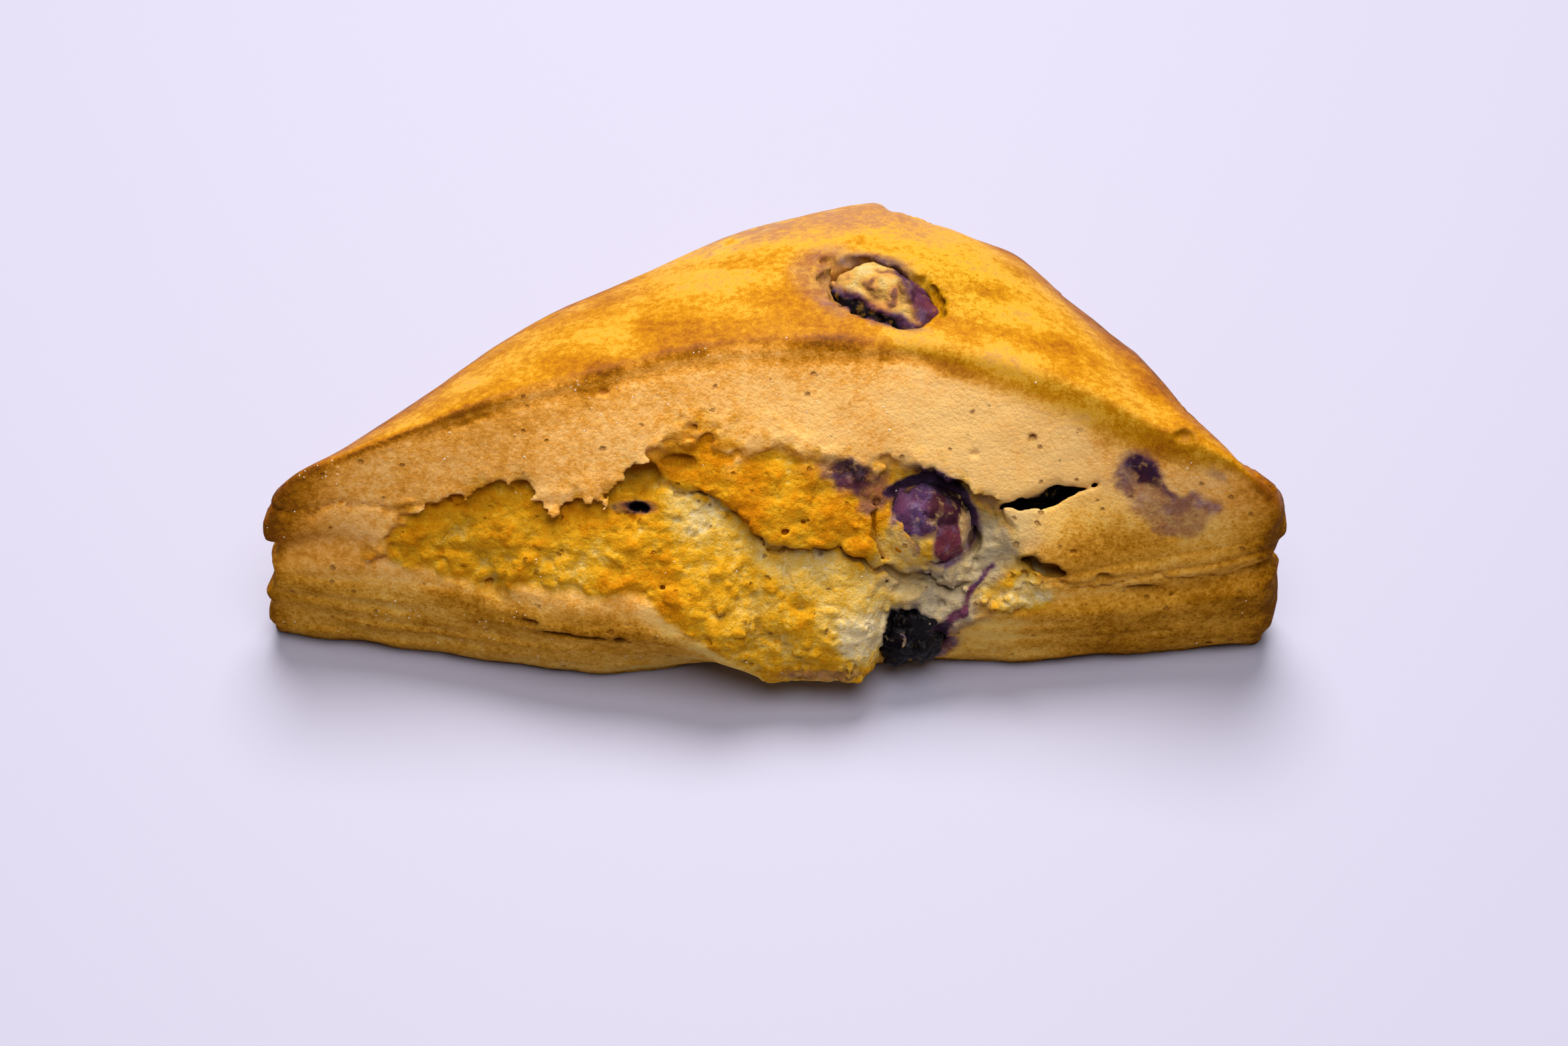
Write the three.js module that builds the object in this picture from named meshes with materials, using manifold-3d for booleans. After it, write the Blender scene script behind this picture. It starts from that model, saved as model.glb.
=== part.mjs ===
// A fruit scone: a flat-bottomed wedge of dough, cut corner to corner from a square, that has
// risen, split along its long cut side and burst open over its berries. Millimetres, +Z up,
// the long cut side facing -Y and the right-angled tip pointing to +Y.
import * as THREE from "three";
import { mergeVertices } from "three/addons/utils/BufferGeometryUtils.js";
import Module from "manifold-3d";

const { clamp, degToRad, lerp, smoothstep } = THREE.MathUtils;
const wasm = await Module();
wasm.setup();

// ---- driving dimensions ------------------------------------------------------------------

const RIM_HEIGHT = 24.8; // the top crust where it turns down at the two short sides
const DOME_RISE = 16.5; // how far the middle stands above that rim
const DOME_SPREAD = 11; // how quickly the dome climbs away from the rim
const SLAB_HEIGHT = 16; // the lower of the two folded layers of dough
const CUT_SIDE_UPRIGHT = 12; // the cut side stands upright to here, then leans back
const SOCKET_GAP = 0.3; // clear space round each berry

// The two short sides seen from above, from the right ear over the tip to the left ear.
const SHORT_SIDES = [
  [68.9, -25], [69, -16], [57.6, -5.8], [50.2, 8], [41.4, 19.6], [33.4, 27.8], [25, 32.4], [15.5, 36.2],
  [-6, 31.6], [-24, 20.3], [-38.4, 10.1], [-58.4, -10.4], [-68.8, -19.4], [-69.8, -28],
];
const FRONT_REACH = -60; // the side outline runs on past the cut side, which trims it
const SIDE_STEPS = 8;

// Lines along the cut side, as [x, value] stations.
const foot = profile([
  [-69, -27.3], [-50, -29.5], [-26, -32.5], [-8, -30.3], [23, -28.7], [35, -28.3], [51, -26.3], [69, -23.9],
]);
const lean = profile([
  [-74, 3], [-60, 7.6], [-45, 13], [-28, 20.5], [-10, 25.4], [10, 24.8], [26, 20.5], [43, 13.6], [58, 7], [72, 3],
]);
const ridgeHeight = profile([[-72, 28], [-45, 33.5], [-20, 38.5], [0, 40.2], [20, 39.4], [45, 34.5], [70, 31]]);
const tearEdge = profile([
  [-55, 18.5], [-51, 22], [-41, 24.6], [-36, 24.8], [-26, 24.2], [-20.5, 25], [-16, 29.6], [-10, 31.8],
  [2, 29], [15, 27.4], [22, 28], [29, 24.6], [40, 25.8], [45, 27],
]);
const tearDepth = profile([
  [-56, 0], [-50, 1.6], [-36, 2.4], [-20, 3.2], [-10, 1.8], [6, 1.2], [16, 2], [27, 2.6], [38, 3.2], [44, 0],
]);
const crackHeight = profile([[-20, 25], [-12, 25.3], [-6, 24], [1, 21.5], [8, 19.4], [14, 18.2], [24, 16]]);
const burstReach = profile([
  [-41, 0], [-31, 1.2], [-24, 2], [-19, 3], [-13.5, 4.6], [-7, 6], [-1, 6.6], [6, 6.5], [12, 6.2], [14.5, 4.2], [17.5, 0],
]);
const burstLip = profile([
  [-41, 18.5], [-31, 17.7], [-24, 18.7], [-19, 18.8], [-13.5, 16], [-7, 11], [-1, 7], [6, 6.4], [13, 6.4],
]);
const creaseHeight = profile([[-70, 16.8], [-59, 19.6], [-45, 17.5], [38, 14.1], [55, 14.4], [70, 17.6]]);
const creaseDepth = profile([[-71, 1.8], [-61, 1], [-49, 0], [30, 0], [40, 1], [60, 1.1], [70, 2]]);

// Each berry: where its middle lies, its half sizes and its turn about +Z in degrees.
const BERRIES = {
  berry_top: { at: [14.2, 7.6, 35.2], half: [8.6, 5, 4.3], turn: -32 },
  berry_front_upper: { at: [20.4, -18.6, 19.6], half: [6.8, 6.3, 6.8], turn: 0 },
  berry_front_lower: { at: [19.6, -27, 7.4], half: [5.8, 5, 5.4], turn: 15 },
  berry_front_left: { at: [9.1, -15.6, 26.4], half: [5.4, 3.6, 3.3], turn: -8 },
  berry_right: { at: [51.6, -16.4, 26.2], half: [6.8, 4.2, 7], turn: -20 },
};
const BERRY_DETAIL = 3;

// Hollows that open in the crust: the sunken mouth over the top berry and an air pocket.
const HOLLOWS = [
  { at: [13.4, 6.4, 40.4], half: [10.3, 6.3, 7], turn: -32 },
  { at: [35.4, -17.6, 24.2], half: [4.8, 4.2, 1.5], turn: 12 },
];
const HOLLOW_DETAIL = 4;

// ---- small functions ---------------------------------------------------------------------

function profile(stations) {
  const last = stations.length - 1;
  const slopeAt = (i) => {
    const [before, after] = [stations[Math.max(i - 1, 0)], stations[Math.min(i + 1, last)]];
    return (after[1] - before[1]) / (after[0] - before[0]);
  };
  return (x) => {
    const at = clamp(x, stations[0][0], stations[last][0]);
    const i = Math.min(stations.findIndex((station) => station[0] >= at - 1e-9) || 1, last) - 1;
    const [x0, v0] = stations[i];
    const [x1, v1] = stations[i + 1];
    const step = x1 - x0;
    const t = (at - x0) / step;
    const blend = t * t * (3 - 2 * t);
    return (
      v0 * (1 - blend) + v1 * blend +
      step * (slopeAt(i) * t * (1 - t) ** 2 - slopeAt(i + 1) * t * t * (1 - t))
    );
  };
}

function bell(t) {
  return 0.5 + 0.5 * Math.cos(Math.PI * Math.min(Math.abs(t), 1));
}

function blendMax(a, b, width) {
  const h = clamp(0.5 + (0.5 * (a - b)) / width, 0, 1);
  return b + (a - b) * h + width * h * (1 - h);
}

const sideCurve = new THREE.SplineCurve(SHORT_SIDES.map(([x, y]) => new THREE.Vector2(x, y)));
const outline = [
  ...sideCurve.getPoints((SHORT_SIDES.length - 1) * SIDE_STEPS),
  new THREE.Vector2(SHORT_SIDES.at(-1)[0], FRONT_REACH),
  new THREE.Vector2(SHORT_SIDES[0][0], FRONT_REACH),
];

// Signed distance to the outline seen from above, negative inside.
function sideDistance(x, y) {
  let nearest = Infinity;
  let inside = false;
  outline.forEach((a, i) => {
    const b = outline[(i + 1) % outline.length];
    const [ex, ey] = [b.x - a.x, b.y - a.y];
    const t = clamp(((x - a.x) * ex + (y - a.y) * ey) / (ex * ex + ey * ey), 0, 1);
    nearest = Math.min(nearest, (x - a.x - t * ex) ** 2 + (y - a.y - t * ey) ** 2);
    if (a.y <= y !== b.y <= y && x < a.x + ((y - a.y) * ex) / ey) {
      inside = !inside;
    }
  });
  return Math.sqrt(nearest) * (inside ? -1 : 1);
}

// ---- the dough ---------------------------------------------------------------------------

// How far the burst stands out of the cut side: furthest at its lip, undercut below it.
function burst(x, z) {
  const lip = burstLip(x);
  const above = clamp((z - lip) / (crackHeight(x) - lip), 0, 1);
  const under = (lip - z) / Math.max(lip, 5);
  return burstReach(x) * (z > lip ? 1 - 0.8 * above ** 1.3 : bell(under));
}

// The torn lobe over the crack hangs forward and stops short of the crust's edge.
function lobe(x, z) {
  const crack = crackHeight(x);
  const span = bell((x - 1) / 18);
  const height = smoothstep(z, crack - 0.8, crack + 1.2) * (1 - smoothstep(z, crack + 2, tearEdge(x)));
  return 3 * span * height;
}

// Below its ragged edge the crust is gone and the crumb lies deeper, in lumps.
function tear(x, z) {
  const below = tearEdge(x) - z;
  const torn = smoothstep(below, -1.1, 1.1) * Math.exp(-Math.max(below, 0) / 7);
  const lumps = 0.2 * Math.sin(x / 1.3) * Math.sin(z / 1.1 + x / 3);
  return tearDepth(x) * torn * (1 + lumps);
}

function crease(x, z) {
  return creaseDepth(x) * bell((z - creaseHeight(x)) / 3.2);
}

function cutSide(x, z) {
  const leaning = clamp((z - CUT_SIDE_UPRIGHT) / (ridgeHeight(x) - CUT_SIDE_UPRIGHT), 0, 1.6);
  const tucked = 1.2 * bell(z / 3);
  return foot(x) + tucked + lean(x) * leaning ** 1.25 - burst(x, z) - lobe(x, z) + tear(x, z) + crease(x, z);
}

// The two layers swell out of the short sides, with the fold line between them. The right
// side is knobbly where the dough was pulled from its neighbour.
function shortSide(x, y, z) {
  const swell = 0.9 * bell((z - SLAB_HEIGHT / 2) / 9) + 0.5 * bell((z - SLAB_HEIGHT * 1.3) / 6);
  const fold = 1.3 * bell((z - creaseHeight(x)) / 3);
  const knobs = 0.5 * smoothstep(x, 16, 24) * Math.sin((x - y) / 2.1) * Math.cos(z / 4);
  return sideDistance(x, y) - swell - knobs + fold + 0.8;
}

function topCrust(x, y) {
  const climb = 1 - Math.exp(Math.min(sideDistance(x, y), 0) / DOME_SPREAD);
  const tilt = 0.03 * x + 0.05 * clamp(-y, -30, 30);
  return RIM_HEIGHT + tilt + DOME_RISE * climb;
}

// Signed distance to the dough, near enough for wrapping a mesh on it.
function doughDistance(x, y, z) {
  const side = shortSide(x, y, z);
  const top = (z - topCrust(x, y)) * 0.95;
  const front = (cutSide(x, z) - y) * 0.8;
  return blendMax(blendMax(side, top, 5), front, 1.8);
}

// ---- wrapping ----------------------------------------------------------------------------

const COLUMNS = 60; // of the block's faces along the cut side
const ROWS = 22; // from the cut side to the back
const LAYERS = 18; // from the foot to the top crust
const BLOCK_FLOOR = -4;
const BACK_CORNERS = { right: 0.27, left: 0.68 }; // along the short sides, by length
const RELAX_ROUNDS = 14;

// The block's rectangle seen from above, stretched over the wedge: its front edge follows the
// cut side, and its two back corners lie part-way up the short sides.
function overWedge(u, v) {
  const front = (s) => new THREE.Vector2(lerp(-70, 68, s), foot(lerp(-70, 68, s)));
  const back = (s) => sideCurve.getPointAt(lerp(BACK_CORNERS.left, BACK_CORNERS.right, s));
  const right = sideCurve.getPointAt(v * BACK_CORNERS.right);
  const left = sideCurve.getPointAt(1 - v * (1 - BACK_CORNERS.left));
  const across = left.multiplyScalar(1 - u).addScaledVector(right, u);
  const along = front(u).multiplyScalar(1 - v).addScaledVector(back(u), v);
  const corners = front(0).multiplyScalar((1 - u) * (1 - v)).addScaledVector(front(1), u * (1 - v));
  corners.addScaledVector(back(0), (1 - u) * v).addScaledVector(back(1), u * v);
  return across.add(along).sub(corners);
}

function gradient(distance, point) {
  const e = 0.05;
  const { x, y, z } = point;
  return new THREE.Vector3(
    distance(x + e, y, z) - distance(x - e, y, z),
    distance(x, y + e, z) - distance(x, y - e, z),
    distance(x, y, z + e) - distance(x, y, z - e),
  ).divideScalar(2 * e);
}

// Moves a point onto the surface where the distance is nought.
function settle(distance, point, steps) {
  for (let step = 0; step < steps; step += 1) {
    const away = gradient(distance, point);
    const off = distance(point.x, point.y, point.z);
    point.addScaledVector(away, -off / Math.max(away.lengthSq(), 0.3));
  }
}

function neighbours(index, count) {
  const lists = Array.from({ length: count }, () => new Set());
  for (let i = 0; i < index.length; i += 3) {
    const [a, b, c] = [index[i], index[i + 1], index[i + 2]];
    lists[a].add(b).add(c);
    lists[b].add(a).add(c);
    lists[c].add(a).add(b);
  }
  return lists.map((list) => [...list]);
}

// Lays a block's mesh over the form, then evens it out along the surface.
function wrap(distance) {
  const raw = new THREE.BoxGeometry(1, 1, 1, COLUMNS, ROWS, LAYERS);
  raw.deleteAttribute("normal");
  raw.deleteAttribute("uv");
  const geometry = mergeVertices(raw);
  const places = geometry.getAttribute("position");
  const points = Array.from({ length: places.count }, (_, i) => {
    const plan = overWedge(places.getX(i) + 0.5, places.getY(i) + 0.5);
    const height = lerp(BLOCK_FLOOR, topCrust(plan.x, plan.y), places.getZ(i) + 0.5);
    return new THREE.Vector3(plan.x, plan.y, height);
  });
  points.forEach((point) => settle(distance, point, 6));
  const around = neighbours(geometry.index.array, points.length);
  for (let round = 0; round < RELAX_ROUNDS; round += 1) {
    const moved = points.map((point, i) => {
      const mean = new THREE.Vector3();
      around[i].forEach((j) => mean.add(points[j]));
      return mean.divideScalar(around[i].length).lerp(point, 0.5);
    });
    moved.forEach((point, i) => {
      settle(distance, point, 2);
      points[i].copy(point);
    });
  }
  points.forEach((point, i) => places.setXYZ(i, point.x, point.y, point.z));
  return geometry;
}

// ---- solids ------------------------------------------------------------------------------

function toSolid(geometry) {
  const bare = geometry.clone();
  bare.deleteAttribute("normal");
  bare.deleteAttribute("uv");
  const merged = mergeVertices(bare);
  return new wasm.Manifold(
    new wasm.Mesh({
      numProp: 3,
      vertProperties: new Float32Array(merged.getAttribute("position").array),
      triVerts: new Uint32Array(merged.index.array),
    }),
  );
}

function toGeometry(solid) {
  const mesh = solid.getMesh();
  const geometry = new THREE.BufferGeometry();
  geometry.setAttribute("position", new THREE.BufferAttribute(mesh.vertProperties, 3));
  geometry.setIndex(new THREE.BufferAttribute(mesh.triVerts, 1));
  return geometry;
}

function ellipsoid({ at, half, turn }, detail, margin) {
  const ball = new THREE.IcosahedronGeometry(1, detail);
  ball.scale(half[0] + margin, half[1] + margin, half[2] + margin);
  return ball.rotateZ(degToRad(turn)).translate(...at);
}

function makeDough() {
  const plate = new THREE.BoxGeometry(200, 200, 40).translate(0, 0, -20);
  let dough = toSolid(wrap(doughDistance)).subtract(toSolid(plate));
  for (const hollow of HOLLOWS) {
    dough = dough.subtract(toSolid(ellipsoid(hollow, HOLLOW_DETAIL, 0)));
  }
  for (const berry of Object.values(BERRIES)) {
    dough = dough.subtract(toSolid(ellipsoid(berry, BERRY_DETAIL, SOCKET_GAP)));
  }
  return toGeometry(dough);
}

// ---- the scone ---------------------------------------------------------------------------

const crust = new THREE.MeshStandardMaterial({ color: "#cf9440", roughness: 0.75, metalness: 0 });
const berrySkin = new THREE.MeshStandardMaterial({ color: "#3c2440", roughness: 0.45, metalness: 0 });
const scone = new THREE.Group();

function addPiece(name, geometry, material) {
  const piece = new THREE.Mesh(geometry, material);
  piece.name = name;
  scone.add(piece);
}

addPiece("scone_body", makeDough(), crust);
for (const [name, berry] of Object.entries(BERRIES)) {
  addPiece(name, ellipsoid(berry, BERRY_DETAIL, 0), berrySkin);
}

// The origin is the middle of the foot, under the middle of the part's box.
const box = new THREE.Box3().setFromObject(scone);
const middle = box.getCenter(new THREE.Vector3());
scone.position.set(-middle.x, -middle.y, -box.min.z);
scone.updateMatrixWorld(true);

export default scone;
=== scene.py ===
"""The finish of the fruit scone: its risen dough with crust, torn crumb and cracks, its berries, and
the flour on its ridge.

The dough is worked out as a solid in fine cells from the same named lines as the CAD part, then
given its crags, flakes and pores and meshed. The berries are meshed over their own solids.
"""

import math

import bmesh
import bpy
import numpy as np
import openvdb
from mathutils import Matrix, Vector


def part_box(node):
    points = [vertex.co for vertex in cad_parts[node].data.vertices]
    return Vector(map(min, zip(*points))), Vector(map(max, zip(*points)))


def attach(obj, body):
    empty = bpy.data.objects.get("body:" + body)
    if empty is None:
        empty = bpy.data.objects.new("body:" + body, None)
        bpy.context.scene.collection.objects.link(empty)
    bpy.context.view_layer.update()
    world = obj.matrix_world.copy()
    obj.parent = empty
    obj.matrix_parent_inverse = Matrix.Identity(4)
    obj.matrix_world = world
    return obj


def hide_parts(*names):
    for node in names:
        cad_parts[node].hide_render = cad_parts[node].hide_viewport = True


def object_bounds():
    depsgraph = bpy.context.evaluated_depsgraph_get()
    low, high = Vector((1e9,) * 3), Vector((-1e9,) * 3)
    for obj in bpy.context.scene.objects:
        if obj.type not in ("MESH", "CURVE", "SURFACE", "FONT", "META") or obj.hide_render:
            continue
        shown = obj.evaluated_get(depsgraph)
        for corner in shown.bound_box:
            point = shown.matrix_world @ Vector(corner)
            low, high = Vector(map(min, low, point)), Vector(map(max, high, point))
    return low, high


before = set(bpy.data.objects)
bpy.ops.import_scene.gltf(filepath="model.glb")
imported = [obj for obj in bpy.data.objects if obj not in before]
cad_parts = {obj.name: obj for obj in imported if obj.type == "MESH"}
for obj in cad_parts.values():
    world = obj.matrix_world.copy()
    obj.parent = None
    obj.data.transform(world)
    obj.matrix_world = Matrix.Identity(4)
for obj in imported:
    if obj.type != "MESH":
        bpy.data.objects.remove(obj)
cad_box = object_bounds()

MM = 0.001

# ---- The dough's driving sizes, in millimetres, as in the CAD part ----------------------------

RIM_HEIGHT = 24.8
DOME_RISE = 16.5
DOME_SPREAD = 11.0
SLAB_HEIGHT = 16.0
CUT_SIDE_UPRIGHT = 12.0
FRONT_REACH = -60.0
SIDE_STEPS = 8
SHORT_SIDES = [
    (68.9, -25), (69, -16), (57.6, -5.8), (50.2, 8), (41.4, 19.6), (33.4, 27.8), (25, 32.4), (15.5, 36.2),
    (-6, 31.6), (-24, 20.3), (-38.4, 10.1), (-58.4, -10.4), (-68.8, -19.4), (-69.8, -28),
]
BERRIES = {
    "berry_top": {"at": (14.2, 7.6, 35.2), "half": (8.6, 5, 4.3), "turn": -32},
    "berry_front_upper": {"at": (20.4, -18.6, 19.6), "half": (6.8, 6.3, 6.8), "turn": 0},
    "berry_front_lower": {"at": (19.6, -27, 7.4), "half": (5.8, 5, 5.4), "turn": 15},
    "berry_front_left": {"at": (9.1, -15.6, 26.4), "half": (5.4, 3.6, 3.3), "turn": -8},
    "berry_right": {"at": (51.6, -16.4, 26.2), "half": (6.8, 4.2, 7), "turn": -20},
}

# ---- The finer sizes that only the finish has -------------------------------------------------

CELL = 0.36  # edge of the cells that the dough is meshed from
BERRY_CELL = 0.24
KEPT_SHARE = 0.37  # share of the dough's triangles kept where its form allows
OUTWARD = 1.8  # how far the detail can stand out of the plain form
INWARD = 1.5
TEAR_INWARD = 8.5
TEAR_LEFT, TEAR_RIGHT = -58, 46  # the ends of the torn stretch along X
TEAR_MARGIN = 3
BAND = 3.0  # distances beyond this don't matter to the meshing
HIGHEST_MASK = 1.3
BOX_MARGIN = 0.06  # how far the finish stays inside the part's own box
NOISE_CELLS = 64  # the lattice that the lumps and pits repeat on

CRACK_DEPTH = 2.6
SLOT_DEPTH = 7.0
SOCKET_TIGHTNESS = 0.25
FLUSH_BERRIES = ("berry_front_left", "berry_right")
FLUSH_STANDOUT = 0.04
FLUSH_COVER = 0.6
BERRY_TOP_HEIGHT = 37.9  # the top berry has sunk in, and slopes down to the front from here
CRUMB_PITS = (1.5, 18, 0.66)  # spacing, seed and radius
CRUST_PITS = (3.2, 19, 0.5, 1.6)  # and how much longer than wide
NO_PIT = 5
FIRST_BERRY_SEED = 31
WRINKLES = {
    "berry_top": 0.9, "berry_front_upper": 0.9, "berry_front_lower": 1.7, "berry_front_left": 0.4,
    "berry_right": 0.4,
}
VIEW_BACK = 0.785  # what a step along Y, and one along Z, raise a point by as the camera sees it
VIEW_UP = 0.62


def profile(*stations):
    """A smooth line through (x, value) stations, as a function of x."""
    at = np.array([station[0] for station in stations], float)
    value = np.array([station[1] for station in stations], float)
    before = np.maximum(np.arange(len(at)) - 1, 0)
    after = np.minimum(np.arange(len(at)) + 1, len(at) - 1)
    slope = (value[after] - value[before]) / (at[after] - at[before])
    fine = np.linspace(at[0], at[-1], 600)
    i = np.clip(np.searchsorted(at, fine, side="right") - 1, 0, len(at) - 2)
    step = at[i + 1] - at[i]
    t = (fine - at[i]) / step
    blend = t * t * (3 - 2 * t)
    line = value[i] * (1 - blend) + value[i + 1] * blend
    line += step * (slope[i] * t * (1 - t) ** 2 - slope[i + 1] * t * t * (1 - t))
    return lambda x: np.interp(x, fine, line)


foot = profile(
    (-69, -27.3), (-50, -29.5), (-26, -32.5), (-8, -30.3), (23, -28.7), (35, -28.3), (51, -26.3), (69, -23.9),
)
lean = profile(
    (-74, 3), (-60, 7.6), (-45, 13), (-28, 20.5), (-10, 25.4), (10, 24.8), (26, 20.5), (43, 13.6), (58, 7),
    (72, 3),
)
ridge_height = profile((-72, 28), (-45, 33.5), (-20, 38.5), (0, 40.2), (20, 39.4), (45, 34.5), (70, 31))
tear_edge = profile(
    (-57, 18), (-53.5, 19), (-52, 22), (-50, 23.4), (-44.7, 25.2), (-40.7, 26.6), (-37.5, 26.9), (-32.5, 26),
    (-30.2, 24.7), (-27, 26.6), (-23, 26.2), (-21.5, 28.2), (-17.2, 29.8), (-14, 32), (-11.2, 32.4), (-7, 31),
    (-4, 30.3), (-0.8, 31), (2.4, 30.7), (6, 29.4), (14, 28.4), (20.2, 28.4), (25.5, 26.6), (28.4, 25.5),
    (31, 25.8), (45, 27),
)
tear_depth = profile(
    (-57, 0), (-52, 1.8), (-44, 3.2), (-36, 4.2), (-28, 4), (-21, 3.2), (-15, 1.8), (-6, 0.6), (4, 0.7),
    (12, 1.5), (18, 3), (26, 3.4), (34, 2.4), (44, 2.4),
)
tear_reach = profile((-56, 3), (-36, 3.2), (-22, 4), (-14, 7), (10, 8), (44, 7))
tear_floor = profile(
    (-56, 18), (-53, 18.6), (-48.8, 16.8), (-44, 16.2), (-39, 15), (-34, 16.4), (-24, 16.7), (-20, 17.2),
    (-15.6, 16.4), (-10.3, 13.8), (-8.2, 12.2), (-2.4, 7.6), (-0.3, 5.8), (6, 5.4), (13, 5), (17, 4), (20, 4),
    (24, 8), (27, 11), (31, 13), (38, 13.5), (44, 22),
)
crack_height = profile(
    (-21, 25), (-18, 25.6), (-13, 26.8), (-8.5, 26.2), (-5.3, 24.6), (-2, 22.6), (2.6, 21.6), (6.7, 21),
    (11, 20.2), (14.4, 18.5), (17, 17.2), (21, 17.2), (24, 16),
)
crack_gape = profile(
    (-22, 0), (-18, 0.6), (-10, 0.35), (-4, 0.2), (2, 0.45), (9, 0.5), (17, 0.8), (24, 0.5), (27, 0),
)
slot_height = profile(
    (29, 25.4), (30.5, 26), (34, 26.6), (37, 27.3), (38.5, 27.9), (40.4, 28.4), (43.5, 29.4), (47, 30.6),
)
slot_gape = profile(
    (29, -3), (30.4, 0.1), (31.5, 0.4), (34, 0.7), (37, 1), (39, 0.85), (40.6, 0.5), (42, 0.2), (43.6, 0.1),
    (44.6, -3),
)
right_flank = profile(
    (12.6, 0), (14.4, 0.8), (17.4, 2.6), (22.5, 1), (26, 1.3), (29.5, 1), (33, 0.2), (37, 0.8), (42, 1.2),
    (47, 0.1), (50, -1), (54, -2), (57.5, -1.5), (60.5, -0.1), (63, 1.6), (66, 1.6), (69, 0.4),
)
wash_reach = profile((8, 0), (14, 0.9), (25, 2.4), (38, 3.6), (46, 4.6), (56, 3.6), (64, 1))
burst_reach = profile(
    (-41, 0), (-31, 1.2), (-24, 2), (-19, 3), (-13.5, 4.6), (-7, 6), (-1, 6.6), (6, 6.5), (12.3, 6.3),
    (13.6, 4.6), (15, 1.8), (17.3, 0),
)
burst_lip = profile(
    (-41, 18.5), (-31, 17.7), (-24, 18.9), (-20, 19.3), (-15.6, 17.2), (-10.3, 14.4), (-8.2, 12.8),
    (-2.4, 8.2), (-0.3, 6.6), (6, 6.4), (13, 6.4),
)
crease_height = profile((-70, 16.8), (-59, 19.6), (-45, 17.5), (38, 14.1), (55, 14.4), (70, 17.6))
crease_line = profile((30, 17), (38, 17.2), (41, 16), (46.5, 16.7), (53.3, 17.4), (61.3, 19.1), (67.2, 21))
crease_depth = profile((-71, 1.8), (-61, 1), (-49, 0), (30, 0), (40, 1), (60, 1.1), (70, 2))


# ---- Small functions on arrays ----------------------------------------------------------------


def bell(t):
    return 0.5 + 0.5 * np.cos(np.pi * np.minimum(np.abs(t), 1))


def smooth(value, low, high):
    t = np.clip((value - low) / (high - low), 0, 1)
    return t * t * (3 - 2 * t)


def blend_max(a, b, width):
    h = np.clip(0.5 + 0.5 * (a - b) / width, 0, 1)
    return b + (a - b) * h + width * h * (1 - h)


def lumps(x, y, z, size, seed, flat=1.0):
    """Smooth random lumps from -1 to 1, size across, squeezed in height by flat."""
    lattice = np.random.default_rng(seed).uniform(-1, 1, (NOISE_CELLS,) * 3).astype(np.float32)
    parts = []
    for value, scale in ((x, size), (y, size), (z, size * flat)):
        at = value / scale
        low = np.floor(at)
        t = at - low
        parts.append((low.astype(np.int64) % NOISE_CELLS, t * t * (3 - 2 * t)))
    (i, u), (j, v), (k, w) = parts
    i1, j1, k1 = (i + 1) % NOISE_CELLS, (j + 1) % NOISE_CELLS, (k + 1) % NOISE_CELLS

    def row(a, b):
        return lattice[i, a, b] * (1 - u) + lattice[i1, a, b] * u

    near = row(j, k) * (1 - v) + row(j1, k) * v
    far = row(j, k1) * (1 - v) + row(j1, k1) * v
    return near * (1 - w) + far * w


def clumps(x, y, z, size, seed):
    """Rounded clumps with sharp creases between them, about -0.3 to 0.6."""
    return np.abs(lumps(x, y, z, size, seed)) * 1.5 - 0.35


def pits(x, y, z, spacing, seed, radius, long=1.0):
    """How far inside the nearest of many scattered pits a point is, stretched along X by long."""
    rng = np.random.default_rng(seed)
    jitter = rng.uniform(0, 1, (NOISE_CELLS, NOISE_CELLS, NOISE_CELLS, 3)).astype(np.float32)
    radii = (rng.uniform(-1, 1, (NOISE_CELLS,) * 3) ** 3 * radius).astype(np.float32)
    at = np.stack((x / long, y, z), -1) / spacing
    home = np.floor(at - 0.5).astype(np.int64)
    deepest = np.full(len(at), -9.0)
    for step in np.ndindex(2, 2, 2):
        cell = home + np.array(step)
        key = tuple((cell % NOISE_CELLS).T)
        away = np.sqrt(((at - cell - jitter[key]) ** 2).sum(-1)) * spacing
        deepest = np.maximum(deepest, radii[key] - away)
    return deepest


def side_outline():
    points = np.array(SHORT_SIDES, float)
    padded = np.vstack((2 * points[0] - points[1], points, 2 * points[-1] - points[-2]))
    line = []
    for p0, p1, p2, p3 in zip(padded, padded[1:], padded[2:], padded[3:]):
        for t in np.arange(SIDE_STEPS) / SIDE_STEPS:
            bend = (2 * p0 - 5 * p1 + 4 * p2 - p3) * t * t + (3 * p1 - p0 - 3 * p2 + p3) * t**3
            line.append(0.5 * (2 * p1 + (p2 - p0) * t + bend))
    line.append(points[-1])
    line.append((points[-1][0], FRONT_REACH))
    line.append((points[0][0], FRONT_REACH))
    return np.array(line)


OUTLINE = side_outline()


def side_distance(x, y):
    """Signed distance to the outline seen from above, negative inside."""
    shape = np.broadcast(x, y).shape
    nearest = np.full(shape, 1e9)
    inside = np.zeros(shape, bool)
    for a, b in zip(OUTLINE, np.roll(OUTLINE, -1, 0)):
        edge = b - a
        t = np.clip(((x - a[0]) * edge[0] + (y - a[1]) * edge[1]) / (edge @ edge), 0, 1)
        nearest = np.minimum(nearest, (x - a[0] - t * edge[0]) ** 2 + (y - a[1] - t * edge[1]) ** 2)
        if edge[1] != 0:
            crosses = (a[1] <= y) != (b[1] <= y)
            inside ^= crosses & (x < a[0] + (y - a[1]) * edge[0] / edge[1])
    return np.sqrt(nearest) * np.where(inside, -1, 1)


# ---- The plain form, as in the CAD part -------------------------------------------------------


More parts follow.
